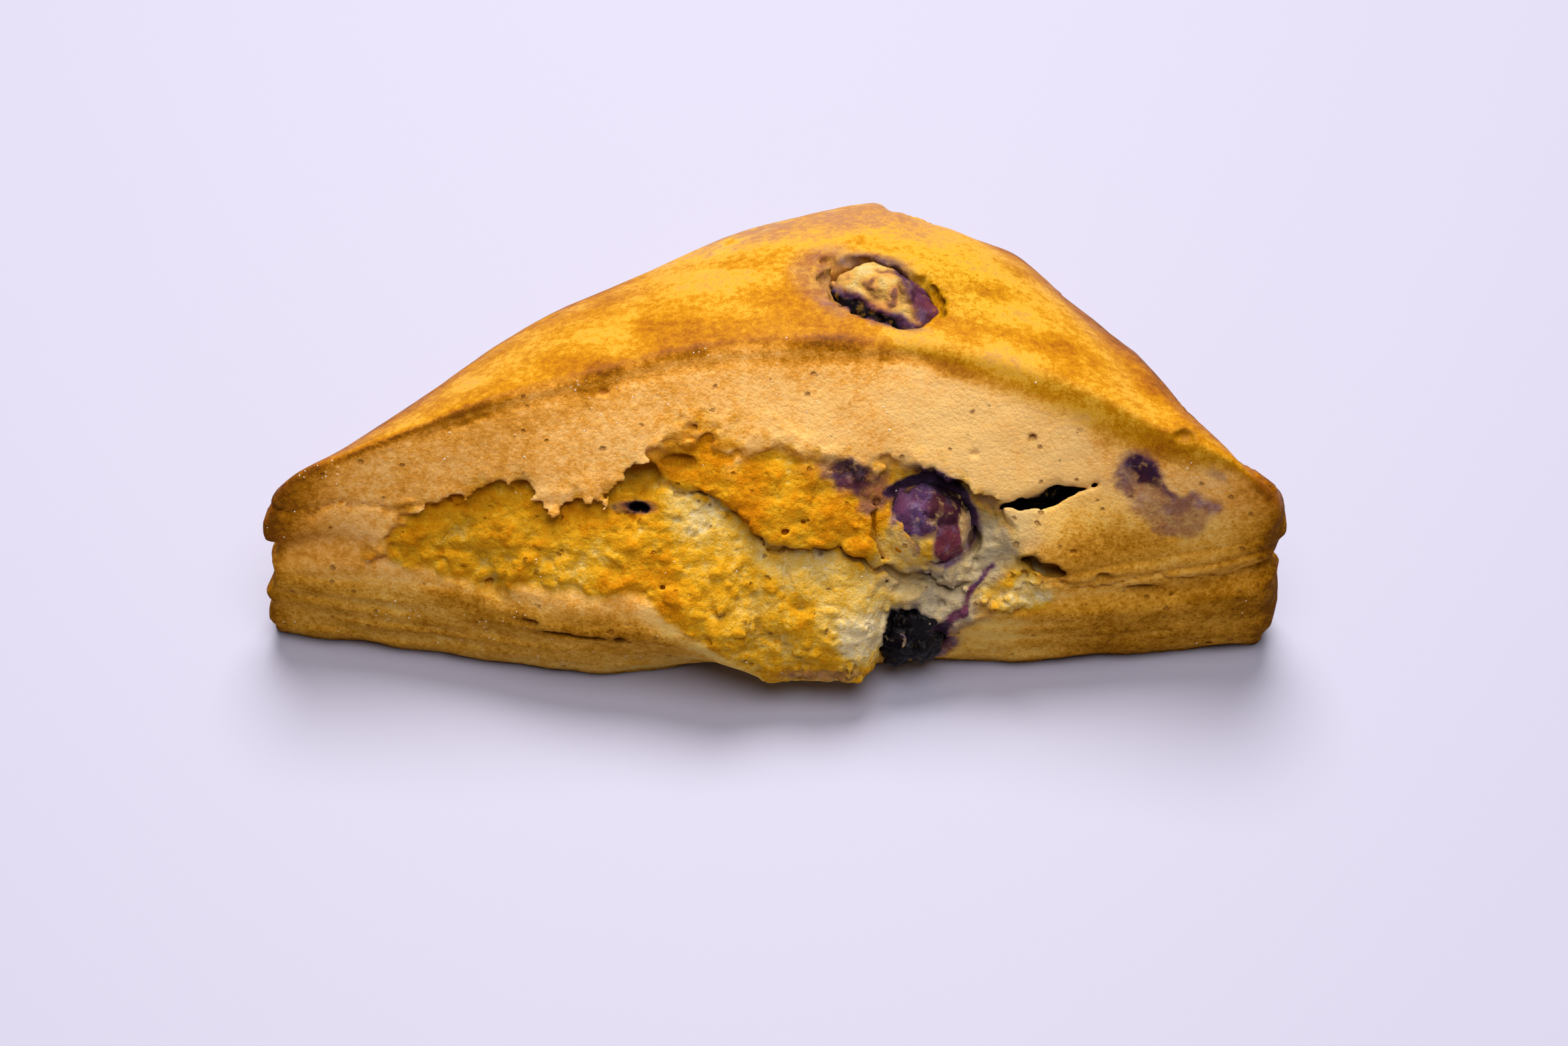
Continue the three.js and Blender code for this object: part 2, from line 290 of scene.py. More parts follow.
def burst(x, z):
    """How far the burst stands out of the cut side."""
    lip = burst_lip(x)
    above = np.clip((z - lip) / (crack_height(x) - lip), 0, 1)
    under = (lip - z) / np.maximum(lip, 5)
    return burst_reach(x) * np.where(z > lip, 1 - 0.8 * above**1.3, bell(under))


def lobe(x, z):
    """The torn lobe over the crack."""
    crack = crack_height(x)
    height = smooth(z, crack - 0.8, crack + 1.2) * (1 - smooth(z, crack + 2, tear_edge(x)))
    return 3 * bell((x - 1) / 18) * height


def crease(x, z):
    return crease_depth(x) * bell((z - crease_height(x)) / 3.2)


def cut_side(x, z):
    """Where the cut side's unbroken crust lies along Y."""
    leaning = np.clip((z - CUT_SIDE_UPRIGHT) / (ridge_height(x) - CUT_SIDE_UPRIGHT), 0, 1.6)
    return foot(x) + 1.2 * bell(z / 3) + lean(x) * leaning**1.25 + crease(x, z)


def short_side(x, y, z, side):
    swell = 0.9 * bell((z - SLAB_HEIGHT / 2) / 9) + 0.5 * bell((z - SLAB_HEIGHT * 1.3) / 6)
    fold = 1.3 * bell((z - crease_height(x)) / 3)
    knobs = 0.5 * smooth(x, 16, 24) * np.sin((x - y) / 2.1) * np.cos(z / 4)
    return side - swell - knobs + fold + 0.8


def top_crust(x, y, side):
    climb = 1 - np.exp(np.minimum(side, 0) / DOME_SPREAD)
    return RIM_HEIGHT + 0.03 * x + 0.05 * np.clip(-y, -30, 30) + DOME_RISE * climb


# ---- The detail -------------------------------------------------------------------------------


def ellipsoid(x, y, z, at, half, turn=0, dip=0):
    """Distance to an ellipsoid's skin, near enough; dip tilts its back end down."""
    c, s = math.cos(math.radians(turn)), math.sin(math.radians(turn))
    level, steep = math.cos(math.radians(dip)), math.sin(math.radians(dip))
    dx, dy, dz = x - at[0], y - at[1], z - at[2]
    if dip:
        dy, dz = dy * level - dz * steep, dz * level + dy * steep
    u, v = (dx * c + dy * s) / half[0], (dy * c - dx * s) / half[1]
    return (np.sqrt(u * u + v * v + (dz / half[2]) ** 2) - 1) * min(half)


def carve(form, hollow, width=0.3):
    return blend_max(form, -hollow, width)


def kept_in_box(form, x, y, z):
    """Keeps a form inside the part's own box."""
    for values, low, high in zip((x, y, z), *cad_box):
        margin = BOX_MARGIN if low < 0 else 0
        form = np.maximum(form, np.maximum(values - high / MM + BOX_MARGIN, low / MM + margin - values))
    return form


def where(mask, work, *arrays):
    """Works something out only where the mask holds, and leaves zero elsewhere."""
    out = np.zeros(len(mask))
    out[mask] = work(*(values[mask] for values in arrays))
    return out


def crumb_relief(x, y, z):
    relief = 1.05 * lumps(x, y, z, 7.1, 10) + 0.95 * clumps(x, y, z, 3.6, 11)
    return relief + 0.5 * lumps(x, y, z, 1.9, 12) + 0.6 * clumps(x, y, z, 1.2, 13)


def surfaces(x, y, z, side):
    """The distances to the dough's sides, top and front, and how the front is torn there."""
    broad = lumps(x, y, z, 13, 1)
    fine = lumps(x, y, z, 3.1, 2) + 0.5 * lumps(x, y, z, 1.3, 3)
    layers = lumps(x, y, z, 9, 4, flat=0.1)

    short = short_side(x, y, z, side) - 0.3 * broad - 0.1 * fine - 0.16 * layers
    short -= 0.7 * smooth(np.abs(x), 60, 67) * np.clip(1.6 * lumps(x, y, z, 4.4, 5, flat=0.45), -0.7, 0.7)
    short -= (0.5 + 0.5 * smooth(x, 15, 25)) * smooth(z, 16, 22) * lumps(x, y, z, 6, 30)
    top = (z - top_crust(x, y, side) - 0.3 * broad - 0.04 * fine) * 0.95
    left_of_tip = 0.9 * smooth(x, -4, 11) * smooth(x, 15, 13.4)
    top += right_flank(x) * smooth(short, -9, -3) - left_of_tip * smooth(y, 25, 32)
    short += 1.5 * smooth(x, 14.6, 16.2) * smooth(x, 30, 18)

    puff = 0.8 * bell((x - 38) / 9) * bell((z - 21) / 6)
    whole = cut_side(x, z) - burst(x, z) - lobe(x, z) - puff - 0.5 * smooth(z, 6, 0) * lumps(x, y, z, 5.7, 35)
    depth = y - whole
    ragged = 0.6 * lumps(x, y, z, 5.3, 6) + 0.9 * lumps(x, y, z, 2.1, 7) + 0.9 * lumps(x, y, z, 1.1, 8)
    undercut = 0.15 + 0.5 * smooth(x, -16, -24) * smooth(x, -54, -46) + 0.5 * smooth(x, 24, 28)
    below = tear_edge(x) + ragged - z + undercut * np.clip(depth, 0, 3.5)
    right_end = 31 + 0.75 * (25.2 - z) - x + 0.5 * ragged
    present = smooth(tear_depth(x), 0.1, 0.45) * smooth(right_end, -1.4, 1.6)
    soft = (0.5 + 2.2 * smooth(lumps(x, y, z, 7, 20), -0.4, 0.4)) * smooth(undercut, 0.9, 0.15) + 0.1
    under_edge = smooth(below, -soft, 0.3 + soft) * present
    torn = under_edge * smooth(z - tear_floor(x) + 0.8 * lumps(x, y, z, 3.4, 9), -0.8, 1.0)

    crumb = where((torn > 0.01) | (np.abs(below) < 3.5), crumb_relief, x, y, z)
    fray = smooth(below, -3.4, 0) * present * (1 - under_edge)
    recess = tear_depth(x) * smooth(right_end, -1, 6) * under_edge
    recess *= np.exp(-np.maximum(below, 0) / tear_reach(x))
    edge = bell(below / 3) * present
    lip = 0.12 * edge * (1 - under_edge)
    slab = smooth(z, 17, 13) * (0.12 + 0.2 * smooth(x, 0, -15))
    skin = 0.3 * broad + 0.12 * fine + slab * layers + 0.45 * edge * lumps(x, y, z, 1.5, 22)
    fold = 0.28 * bell((top + 1.7) / 1.1) * smooth(x, -52, -42) * smooth(x, 30, 18)
    line = crease_line(x) - z + 0.5 * lumps(x, y, z, 5, 21)
    lines = 0.4 * smooth(x, 35, 39) * (bell(line / 0.7) + 0.5 * bell((line + 2.4) / 0.7))
    front = whole + recess - lip - (torn + 0.5 * fray) * crumb - (1 - torn) * skin + fold + lines - y
    return {
        "short": short, "top": top, "front": front * 0.8, "torn": torn, "depth": depth, "crumb": crumb,
        "edge": edge, "line": lines, "fray": fray,
    }


def slot_air(x, y, z, depth):
    """Distance to the air in the slot right of the berries."""
    middle = slot_height(x) + 0.6 * lumps(x, y, z, 2.2, 37) + 0.3 * lumps(x, y, z, 1, 38) - 0.9 * depth
    return np.maximum(np.abs(z - middle) - slot_gape(x), depth - SLOT_DEPTH)


def crack_air(x, y, z, depth):
    """Distance to the air in the crack over the burst."""
    wander = 1.3 * lumps(x, y, z, 3.9, 14) + 0.9 * lumps(x, y, z, 1.7, 15) + 0.5 * lumps(x, y, z, 0.9, 32)
    middle = crack_height(x) + wander - 0.4 * depth
    gape = crack_gape(x) * (1 - 0.6 * depth / CRACK_DEPTH)
    return np.maximum(np.abs(z - middle) - gape, depth - CRACK_DEPTH)


CRATER = {"at": (13.4, 6.4, 40.4), "half": (10.3, 6.3, 7), "turn": -32}
CRATER_FRONT = {"at": (13.6, 2.2, 36.6), "half": (7.4, 4, 4), "turn": -32}
CRATER_SLOPE = {"at": (20.6, 7.6, 33.4), "half": (5.4, 4.6, 4.2), "turn": -32}
DARK_HOLE = {"at": (-18.6, -20.6, 24), "half": (1.5, 3.8, 0.35), "dip": 45}
SMALL_HOLLOWS = [
    DARK_HOLE,
    {"at": (-18.4, -18.4, 27.7), "half": (2.8, 2.8, 2)},
    {"at": (-13.6, -17.4, 29.4), "half": (2.4, 1.6, 1), "turn": 15},
    {"at": (34.7, -24, 19.4), "half": (1.6, 3, 0.9), "dip": 40},
    {"at": (36.4, -24.2, 18.4), "half": (1.8, 2.6, 0.6), "dip": 40},
    {"at": (38.4, -24.4, 17.3), "half": (1.6, 2.2, 0.5), "dip": 40},
    {"at": (27.2, -22, 20.8), "half": (0.9, 3, 1.7), "dip": 30},
    {"at": (45.2, -25.1, 17), "half": (1.4, 1.4, 0.6)},
    {"at": (50.6, -24.6, 14.6), "half": (2, 1.3, 0.5)},
    {"at": (-37.2, -30.2, 15.9), "half": (2.2, 1.3, 0.6)},
    {"at": (-33.2, -32.4, 12.5), "half": (1.5, 1.2, 0.6)},
    {"at": (-28, -33, 11.2), "half": (5.5, 1.2, 0.45)},
    {"at": (-20.8, -33.6, 11.2), "half": (0.9, 1.9, 1.1)},
    {"at": (34.2, -14, 33.1), "half": (0.5, 1.6, 0.4)},
    {"at": (54.5, -15.1, 36.4), "half": (1.4, 1.1, 0.9)},
]
LUMPS = [
    {"at": (34.6, -23.8, 15.2), "half": (3.8, 2.8, 2.2), "turn": 10},
    {"at": (14.6, -29.4, 9.6), "half": (2.1, 2.2, 2.8)},
]
CRUMB_ON_BERRY = {"at": (16.9, -31.5, 9.8), "half": (1.4, 1.2, 1)}


def whole_dough(x, y, z, parts):
    """Distance to the dough before the berries and the big hollows are taken out."""
    top, front = parts["top"], parts["front"]
    form = blend_max(blend_max(parts["short"], top, 3.6), front, 1.1)
    for lump in LUMPS:
        form = np.minimum(form, ellipsoid(x, y, z, **lump) - 0.35 * parts["crumb"])
    return np.maximum(form, -z)


def dough_distance(x, y, z, side):
    """Signed distance to the finished dough, near enough for meshing."""
    parts = surfaces(x, y, z, side)
    form = whole_dough(x, y, z, parts)
    rough = 0.5 * lumps(x, y, z, 2.6, 16) + 0.3 * lumps(x, y, z, 1.1, 17)
    form = carve(form, crack_air(x, y, z, parts["depth"]), 1.0)
    form = carve(form, slot_air(x, y, z, parts["depth"]), 0.5)
    for hollow in (CRATER, CRATER_FRONT, *SMALL_HOLLOWS):
        form = carve(form, ellipsoid(x, y, z, **hollow) + 0.35 * (1 + min(hollow["half"])) * rough)
    form = -blend_max(-form, -ellipsoid(x, y, z, **CRATER_SLOPE), 1.5)
    for name in BERRIES:
        socket = berry_solid(name, x, y, z) + SOCKET_TIGHTNESS + 0.5 * rough
        if name in FLUSH_BERRIES:
            socket = np.maximum(socket, form + FLUSH_COVER)
        form = carve(form, socket, 0.5)
    form = np.minimum(form, ellipsoid(x, y, z, **CRUMB_ON_BERRY) - 0.5 * rough)

    clinging = film_side(x, y, z)
    swell = lumps(x, y, z, 3.7, 36)
    thick = smooth(clinging, -0.5, 3.2) * (0.35 + 0.7 * rough + 0.5 * swell)
    film = berry_solid("berry_front_upper", x, y, z) - 0.05 - thick
    form = np.minimum(form, np.maximum(film, 1.2 * rough - clinging))
    seam = np.abs(film - 1.2) - 0.5 * smooth(clinging, 0, 2.5) - 0.6 * rough + 0.25 + 0.5 * swell
    form = carve(form, np.maximum(seam, parts["depth"] - 3), 0.6)

    in_crumb = (parts["torn"] > 0.5) & (form > -2)
    on_crust = (parts["torn"] < 0.2) & (parts["front"] > -1) & (form > -1)
    form = pitted(form, in_crumb, x, y, z, CRUMB_PITS)
    return pitted(form, on_crust, x, y, z, CRUST_PITS)


def pitted(form, mask, x, y, z, size):
    """Carves small pits where the mask holds."""
    depth = where(mask, lambda *at: NO_PIT + pits(*at, *size), x, y, z) - NO_PIT
    return blend_max(form, depth, 0.2)


def rise_over(at, y, z):
    """How high a point shows above another one, as the camera sees it."""
    return VIEW_UP * (z - at[2]) + VIEW_BACK * (y - at[1])


def berry_solid(name, x, y, z):
    """Distance to a berry's skin; the lower front one lacks its right foot."""
    berry = BERRIES[name]
    solid = ellipsoid(x, y, z, **berry)
    if name != "berry_front_lower":
        return solid
    missing = 0.8 * (x - berry["at"][0]) - 0.6 * rise_over(berry["at"], y, z) - 4.5
    return blend_max(solid, missing, 1.0)


def film_side(x, y, z):
    """How far a point is on the side of the upper front berry where dough clings to it."""
    at = BERRIES["berry_front_upper"]["at"]
    return -(x - at[0] + 0.75 * rise_over(at, y, z) + 3.3) / 1.25


def toward_back(x, y, z):
    """How far a point lies behind the long axis of the top berry, as the camera sees it."""
    at = BERRIES["berry_top"]["at"]
    return rise_over(at, y, z) + 0.46 * (x - at[0])


def plain_distance(x, y, z, side):
    top = (z - top_crust(x, y, side)) * 0.95
    front = (cut_side(x, z) - burst(x, z) - lobe(x, z) - y) * 0.8
    return np.maximum(np.maximum(short_side(x, y, z, side), top), np.maximum(front, -z)), front


# ---- Meshing ----------------------------------------------------------------------------------


def cell_centres(low, high):
    return [np.arange(a - 1.5 * CELL, b + 1.5 * CELL, CELL) for a, b in zip(low, high)]


def mesh_from_cells(name, form, origin, cell=CELL):
    grid = openvdb.FloatGrid(background=BAND)
    grid.copyFromArray(form.astype(np.float32))
    points, _, quads = grid.convertToPolygons(isovalue=0.0, adaptivity=0.0)
    points = points * cell + origin
    points[:, 2] = np.maximum(points[:, 2], 0)
    mesh = bpy.data.meshes.new(name)
    mesh.from_pydata((points * MM).tolist(), [], quads[:, ::-1].tolist())
    mesh.update()
    return mesh


def flatten_foot(mesh):
    """Makes the flat underside one face with a few triangles."""
    bm = bmesh.new()
    bm.from_mesh(mesh)
    flat = [f for f in bm.faces if f.normal.z < -0.99 and all(v.co.z < 0.05 * MM for v in f.verts)]
    merged = bmesh.ops.dissolve_faces(bm, faces=flat, use_verts=False)["region"]
    bmesh.ops.triangulate(bm, faces=merged)
    bm.to_mesh(mesh)
    bm.free()


def largest_part(mesh):
    """Drops loose crumbs that the carving left in the air."""
    bm = bmesh.new()
    bm.from_mesh(mesh)
    seen = {}
    groups = []
    for start in bm.verts:
        if start in seen:
            continue
        group = [start]
        seen[start] = True
        for vert in group:
            for edge in vert.link_edges:
                other = edge.other_vert(vert)
                if other not in seen:
                    seen[other] = True
                    group.append(other)
        groups.append(group)
    groups.sort(key=len)
    for group in groups[:-1]:
        bmesh.ops.delete(bm, geom=group, context="VERTS")
    bm.to_mesh(mesh)
    bm.free()


def put(name, data):
    thing = bpy.data.objects.new(name, data)
    bpy.context.scene.collection.objects.link(thing)
    return thing


def worked_out(thing):
    """The mesh of an object with its modifiers applied."""
    bpy.context.view_layer.update()
    evaluated = thing.evaluated_get(bpy.context.evaluated_depsgraph_get())
    return bpy.data.meshes.new_from_object(evaluated)


def add_piece(name, mesh, node, material):
    piece = put(name, mesh)
    mesh.materials.append(material)
    mesh.shade_smooth()
    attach(piece, "root")
    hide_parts(node)
    return piece


def store(mesh, name, values):
    layer = mesh.attributes.new(name, "FLOAT", "POINT")
    layer.data.foreach_set("value", np.ascontiguousarray(values, np.float32))


def read_points(mesh):
    flat = np.empty(len(mesh.vertices) * 3)
    mesh.vertices.foreach_get("co", flat)
    return (flat.reshape(-1, 3) / MM).T


# ---- Where each colour lies -------------------------------------------------------------------

# Spots on the front, each (x, z, half length, half height, turn, value): how baked the crumb is,
# from raw cream at 0 to dark brown at 1.2, how grey it is, how much berry juice shows, how magenta
# the juice is, and how near to black. The juice spot at (22, 27.4) and the near-black one at
# (21.4, 26.2) are painted shadow of the crust lip over the upper front berry.
SPOTS = {
    "bake": [
        (-38, 22, 17, 6, 4, 0.6), (-27, 20.5, 7, 3, 10, 0.46), (-21, 27.5, 3, 2.6, 0, 0.42),
        (-9, 29.2, 9, 3.6, -12, 0.68), (9, 25.5, 8, 5, -24, 0.66), (-10, 24, 6.4, 3, -20, 0.16),
        (0, 20.6, 9, 2.6, -22, 0.26), (9, 18.3, 8, 2.4, -8, 0.26), (-15.5, 18.4, 6, 3.6, -28, 0.62),
        (-6, 17, 8, 5, -30, 0.42), (2, 11, 9, 5, -20, 0.47), (3.5, 7.2, 8, 1.8, 0, 0.58),
        (8.6, 15.6, 3.4, 2.2, -20, 0.3), (15, 13, 4.6, 7.5, 10, 0.16), (24, 17, 8, 9, 0, 0.2),
        (34.6, 15.2, 4.4, 2.8, 10, 0.08), (-21, 19.7, 2.6, 1.8, 0, 0.62), (33.6, 20.4, 4, 2.6, 0, 0.24),
        (16.4, 18.6, 3.4, 5.4, 0, 0.14), (13, 12, 5, 3.4, -20, 0.04),
    ],
    "grey": [
        (22.5, 14.5, 6, 5, 20, 1), (28.5, 20, 4, 4, -30, 0.85), (17.5, 17, 3.5, 1.6, -10, 0.6),
        (33.5, 23.5, 3.4, 3, 0, 0.4),
    ],
    "juice": [
        (16.4, 10.6, 1, 3.2, 10, 1.1), (23.4, 10.8, 1.4, 2.4, -30, 1.1), (25.8, 10.6, 2, 1.5, -20, 0.45),
        (24.8, 13.2, 0.6, 2.8, -42, 0.9), (27.6, 16.7, 0.5, 3, -40, 0.9), (28.6, 12.6, 2.2, 2.4, 20, 0.3),
        # (22, 27.4) is painted shadow of the crust lip over the upper front berry.
        (6.5, 6.9, 6.5, 1.2, 0, 0.45), (22, 27.4, 5, 1.2, -14, 0.75), (28, 25.2, 3, 0.9, -10, 0.4),
        (10.4, 27.9, 5.4, 2, -14, 0.85), (13.4, 26, 2.6, 1.6, 0, 0.5), (49.8, 31.3, 3.4, 2.5, -10, 0.95),
        (47.6, 29.6, 1.6, 1.8, 0, 0.7), (53, 29.4, 3, 1.4, -40, 0.8), (56.2, 27.6, 3.6, 1.6, -8, 0.7),
        (54.6, 25, 3.6, 2, 10, 0.5), (51, 27.6, 3.2, 2.6, 0, 0.5), (58.6, 32.4, 1.6, 1, 0, 0.35),
    ],
    "hue": [
        (28.4, 12.4, 3, 3, 0, 0.7), (24.6, 16, 3.6, 4.4, 0, 0.6), (56.4, 27.4, 4.6, 3, 0, 1),
        (54.6, 25, 3.6, 2, 0, 0.8), (51, 28, 4, 3, 0, 0.9), (10, 27.6, 6, 2, 0, 0.5),
    ],
    "deep": [
        # (21.4, 26.2) darkens that painted shadow of the crust lip.
        (16.4, 10.6, 1.1, 3.4, 10, 1.1), (23.2, 10.9, 1.4, 2.4, -30, 0.8), (21.4, 26.2, 6.4, 2.6, -6, 0.8),
        (9.4, 28.9, 5.6, 1.1, -12, 0.75), (49.8, 31.2, 3, 2, -10, 0.7), (-20.8, 11.2, 1.4, 1.5, 0, 0.9),
    ],
}
JUICE_REACH = {"berry_top": 1.0, "berry_front_upper": 0.7, "berry_front_lower": 0.7}

# Soft patches, each (middle and reach along X, middle and reach along Z or Y, how much browner).
CRUST_PATCHES = [(46, 12, 21, 6.5, 0.32), (33, 3, 23.5, 3, -0.3), (30, 8, 9, 6, -0.16)]
CRUMB_PATCHES = [(-3, 9, 25, 5, 0.24)]
GLAZE_PATCHES = [
    # The last patch, just above the ridge at the right, is paler as a painted highlight.
    (17, 11, -2.5, 4, -0.34), (-10, 16, 9, 6, -0.22), (31, 12, 3, 6, -0.2), (31, 9, -5, 5, -0.32),
]
# Away from the tip the glaze stays at least this brown, so its palest tone, a painted sheen, shows only at
# the tip.
GLAZE_PALEST = 0.32
DEEP_DOUGH, DEEP_BERRY = 0.1, 0.2  # how near to black the juice is where no spot says so


def patches(table, x, other):
    """Adds up a table's patches over x and over z or y."""
    return sum(
        amount * bell((x - middle) / reach) * bell((other - centre) / width)
        for middle, reach, centre, width, amount in table
    )


class Place:
    """Where a mesh's points lie on the scone, with the lumps that break up its colours."""

    def __init__(self, mesh):
        self.at = self.x, self.y, self.z = read_points(mesh)
        self.parts = surfaces(*self.at, side_distance(self.x, self.y))
        self.wide = lumps(*self.at, 6.5, 23) + 0.6 * lumps(*self.at, 2.7, 24)
        self.small = lumps(*self.at, 1.7, 25) + 0.6 * lumps(*self.at, 0.9, 26)
        self.patchy = smooth(lumps(*self.at, 6, 33) + 0.5 * lumps(*self.at, 2, 34), -0.5, 0.5)
        short, top, front = (self.parts[name] for name in ("short", "top", "front"))
        reach = wash_reach(self.x)
        self.over_edge = top - front + reach
        self.washed = smooth(self.over_edge, -0.5 - 0.5 * reach, 0.4 + 0.2 * reach)
        self.washed *= smooth(short - top, 5, 1)
        self.on_front = smooth(front - top, -0.8, 0.6)
        self.spot_x = self.x + 1.1 * self.wide + 0.5 * self.small
        self.spot_z = self.z + 0.9 * lumps(*self.at, 4.4, 27) + 0.5 * self.small

    def painted(self, name, base):
        """Blends a mask toward the value of each of its spots."""
        value = base
        for x, z, long, high, turn, wanted in SPOTS[name]:
            c, s = math.cos(math.radians(turn)), math.sin(math.radians(turn))
            along, across = self.spot_x - x, self.spot_z - z
            u, v = (along * c + across * s) / long, (across * c - along * s) / high
            share = smooth(np.sqrt(u * u + v * v), 1.15, 0.6)
            value = value * (1 - share) + wanted * share
        return value


def crust_bake_and_shade(place):
    """How brown the unwashed crust is, with painted shade on the slab under the overhanging torn crumb at the
    left.
    """
    x, z, parts = place.x, place.z, place.parts
    slab = smooth(z, 17, 12)
    under_tear = tear_floor(x) - z
    ears = smooth(np.abs(x), 57, 68) * smooth(np.abs(x) * 0.9 + z, 76, 82)
    bake = 0.42 + 0.12 * smooth(x, -5, -45) - 0.26 * bell((x - 27) / 26) * smooth(z, 20, 28)
    bake += 0.1 * place.wide + 0.14 * parts["edge"] * (0.4 + place.small)
    bake += 0.14 * slab + 0.16 * lumps(*place.at, 9, 4, flat=0.1) * smooth(z, 18, 14)
    bake += 0.38 * ears + 0.14 * smooth(np.abs(x), 54, 68) + 0.25 * smooth(parts["short"], -2.5, 0)
    bake += 0.25 * smooth(z, 1.6, 0.2)  # along the foot
    bake += 0.14 * smooth(parts["top"], -7, -0.5) * smooth(x, 34, 18)  # under the ridge
    bake += 0.14 * slab * smooth(x, 34, 46) + 0.18 * smooth(x, 29, 40) * smooth(z, 27, 21)
    # Painted shade on the slab under the overhanging torn crumb at the left, in these two lines.
    bake += 0.2 * bell((z - 11) / 6) * smooth(x, -46, -36) * smooth(x, -6, -16)
    bake += 0.15 * bell((under_tear - 3.2) / 4.5) * smooth(x, -52, -42) * smooth(x, -14, -22)
    bake -= 0.32 * bell((under_tear - 1.4) / 2.6) * smooth(x, -20, -13) * smooth(x, 7, 3)
    bake += patches(CRUST_PATCHES, x, z)
    lines = 1.3 * bell((place.over_edge + 0.3) / 1.4) * smooth(x, 34, 18)
    lines += 0.8 * bell((parts["top"] + 1.9) / 0.8) * smooth(x, -52, -42) * smooth(x, 30, 18)
    return bake + 0.56 * lines * (0.3 + 0.7 * place.patchy) + 0.3 * parts["line"]


def crumb_bake(place):
    """How brown the torn crumb is."""
    bake = place.painted("bake", 0.5) + 0.1 * place.parts["crumb"]
    bake += 0.05 * place.small + 0.08 * place.wide
    return bake + patches(CRUMB_PATCHES, place.x, place.z)


def glaze_bake_and_sheen(place):
    """How brown the washed crust is: streaked, darker along its edges, with a painted sheen that makes it
    paler toward the back and palest at the tip.
    """
    x, y, z = place.at
    short, front = place.parts["short"], place.parts["front"]
    streaks = lumps(x, y, z, 4.2, 28) + lumps(x * 0.25, y + 0.3 * x, z, 2.6, 29)
    bake = 0.5 + 0.02 * smooth(x, 15, 50) + 0.12 * streaks + 0.08 * place.wide
    # Painted sheen: paler toward the back.
    bake -= 0.14 * smooth(y + 0.25 * x, 16, 28) * smooth(short, -2, -5)
    bake += 0.5 * smooth(short, -8, -1) + 0.05 * bell((y + 0.2 * x - 3) / 6)
    bake += 0.2 * smooth(front, -9, -1) * smooth(x, -45, -10) * smooth(x, 24, 8)
    bake += 0.1 * bell((x - 34) / 14) * smooth(place.over_edge, 1, 6)
    bake += 0.26 * bell(place.over_edge / 1.5) * (0.4 + 0.6 * place.patchy) * smooth(x, 40, 20)
    bake = np.maximum(bake + patches(GLAZE_PATCHES, x, y), GLAZE_PALEST)
    # Painted sheen: the tip goes toward the palest, pinkish glaze.
    tip = smooth(y - 0.05 * x + 0.8 * place.wide, 11, 27) * smooth(x, 28, 12) * smooth(x, -30, -8)
    return bake + tip * (0.04 * streaks + 0.04 - bake)


def olive_cast(place):
    """How olive the slab, the right end and the turned edge of the glaze are."""
    x, y, z = place.at
    slab = 0.9 * smooth(z, 18, 12)
    right_end = 0.75 * smooth(x, 24, 44) * smooth(z, 30, 24)
    glaze = 0.7 * place.washed * bell((x - 24) / 17) * smooth(place.over_edge, 5, 12) * smooth(y, 22, 14)
    return np.maximum(np.maximum(slab, right_end) * place.on_front, glaze)


def hollow_shade(place):
    """How dark the crack, the creases of the crumb and the small hollows are inside."""
    under_crack = crack_height(place.x) - place.z + 0.5 * place.wide + 0.4 * place.small
    crack = 0.25 * bell((under_crack - 0.9) / 1.5) * smooth(place.x, -22, -14) * smooth(place.x, 27, 20)
    shade = place.parts["torn"] * np.maximum(crack, 0.5 * smooth(place.parts["crumb"], -0.4, -1.5))
    for hollow in SMALL_HOLLOWS:
        darkest = 0.95 if "dip" in hollow else 0.45
        shade = np.maximum(shade, darkest * smooth(ellipsoid(*place.at, **hollow), 0.45, -0.1))
    return shade


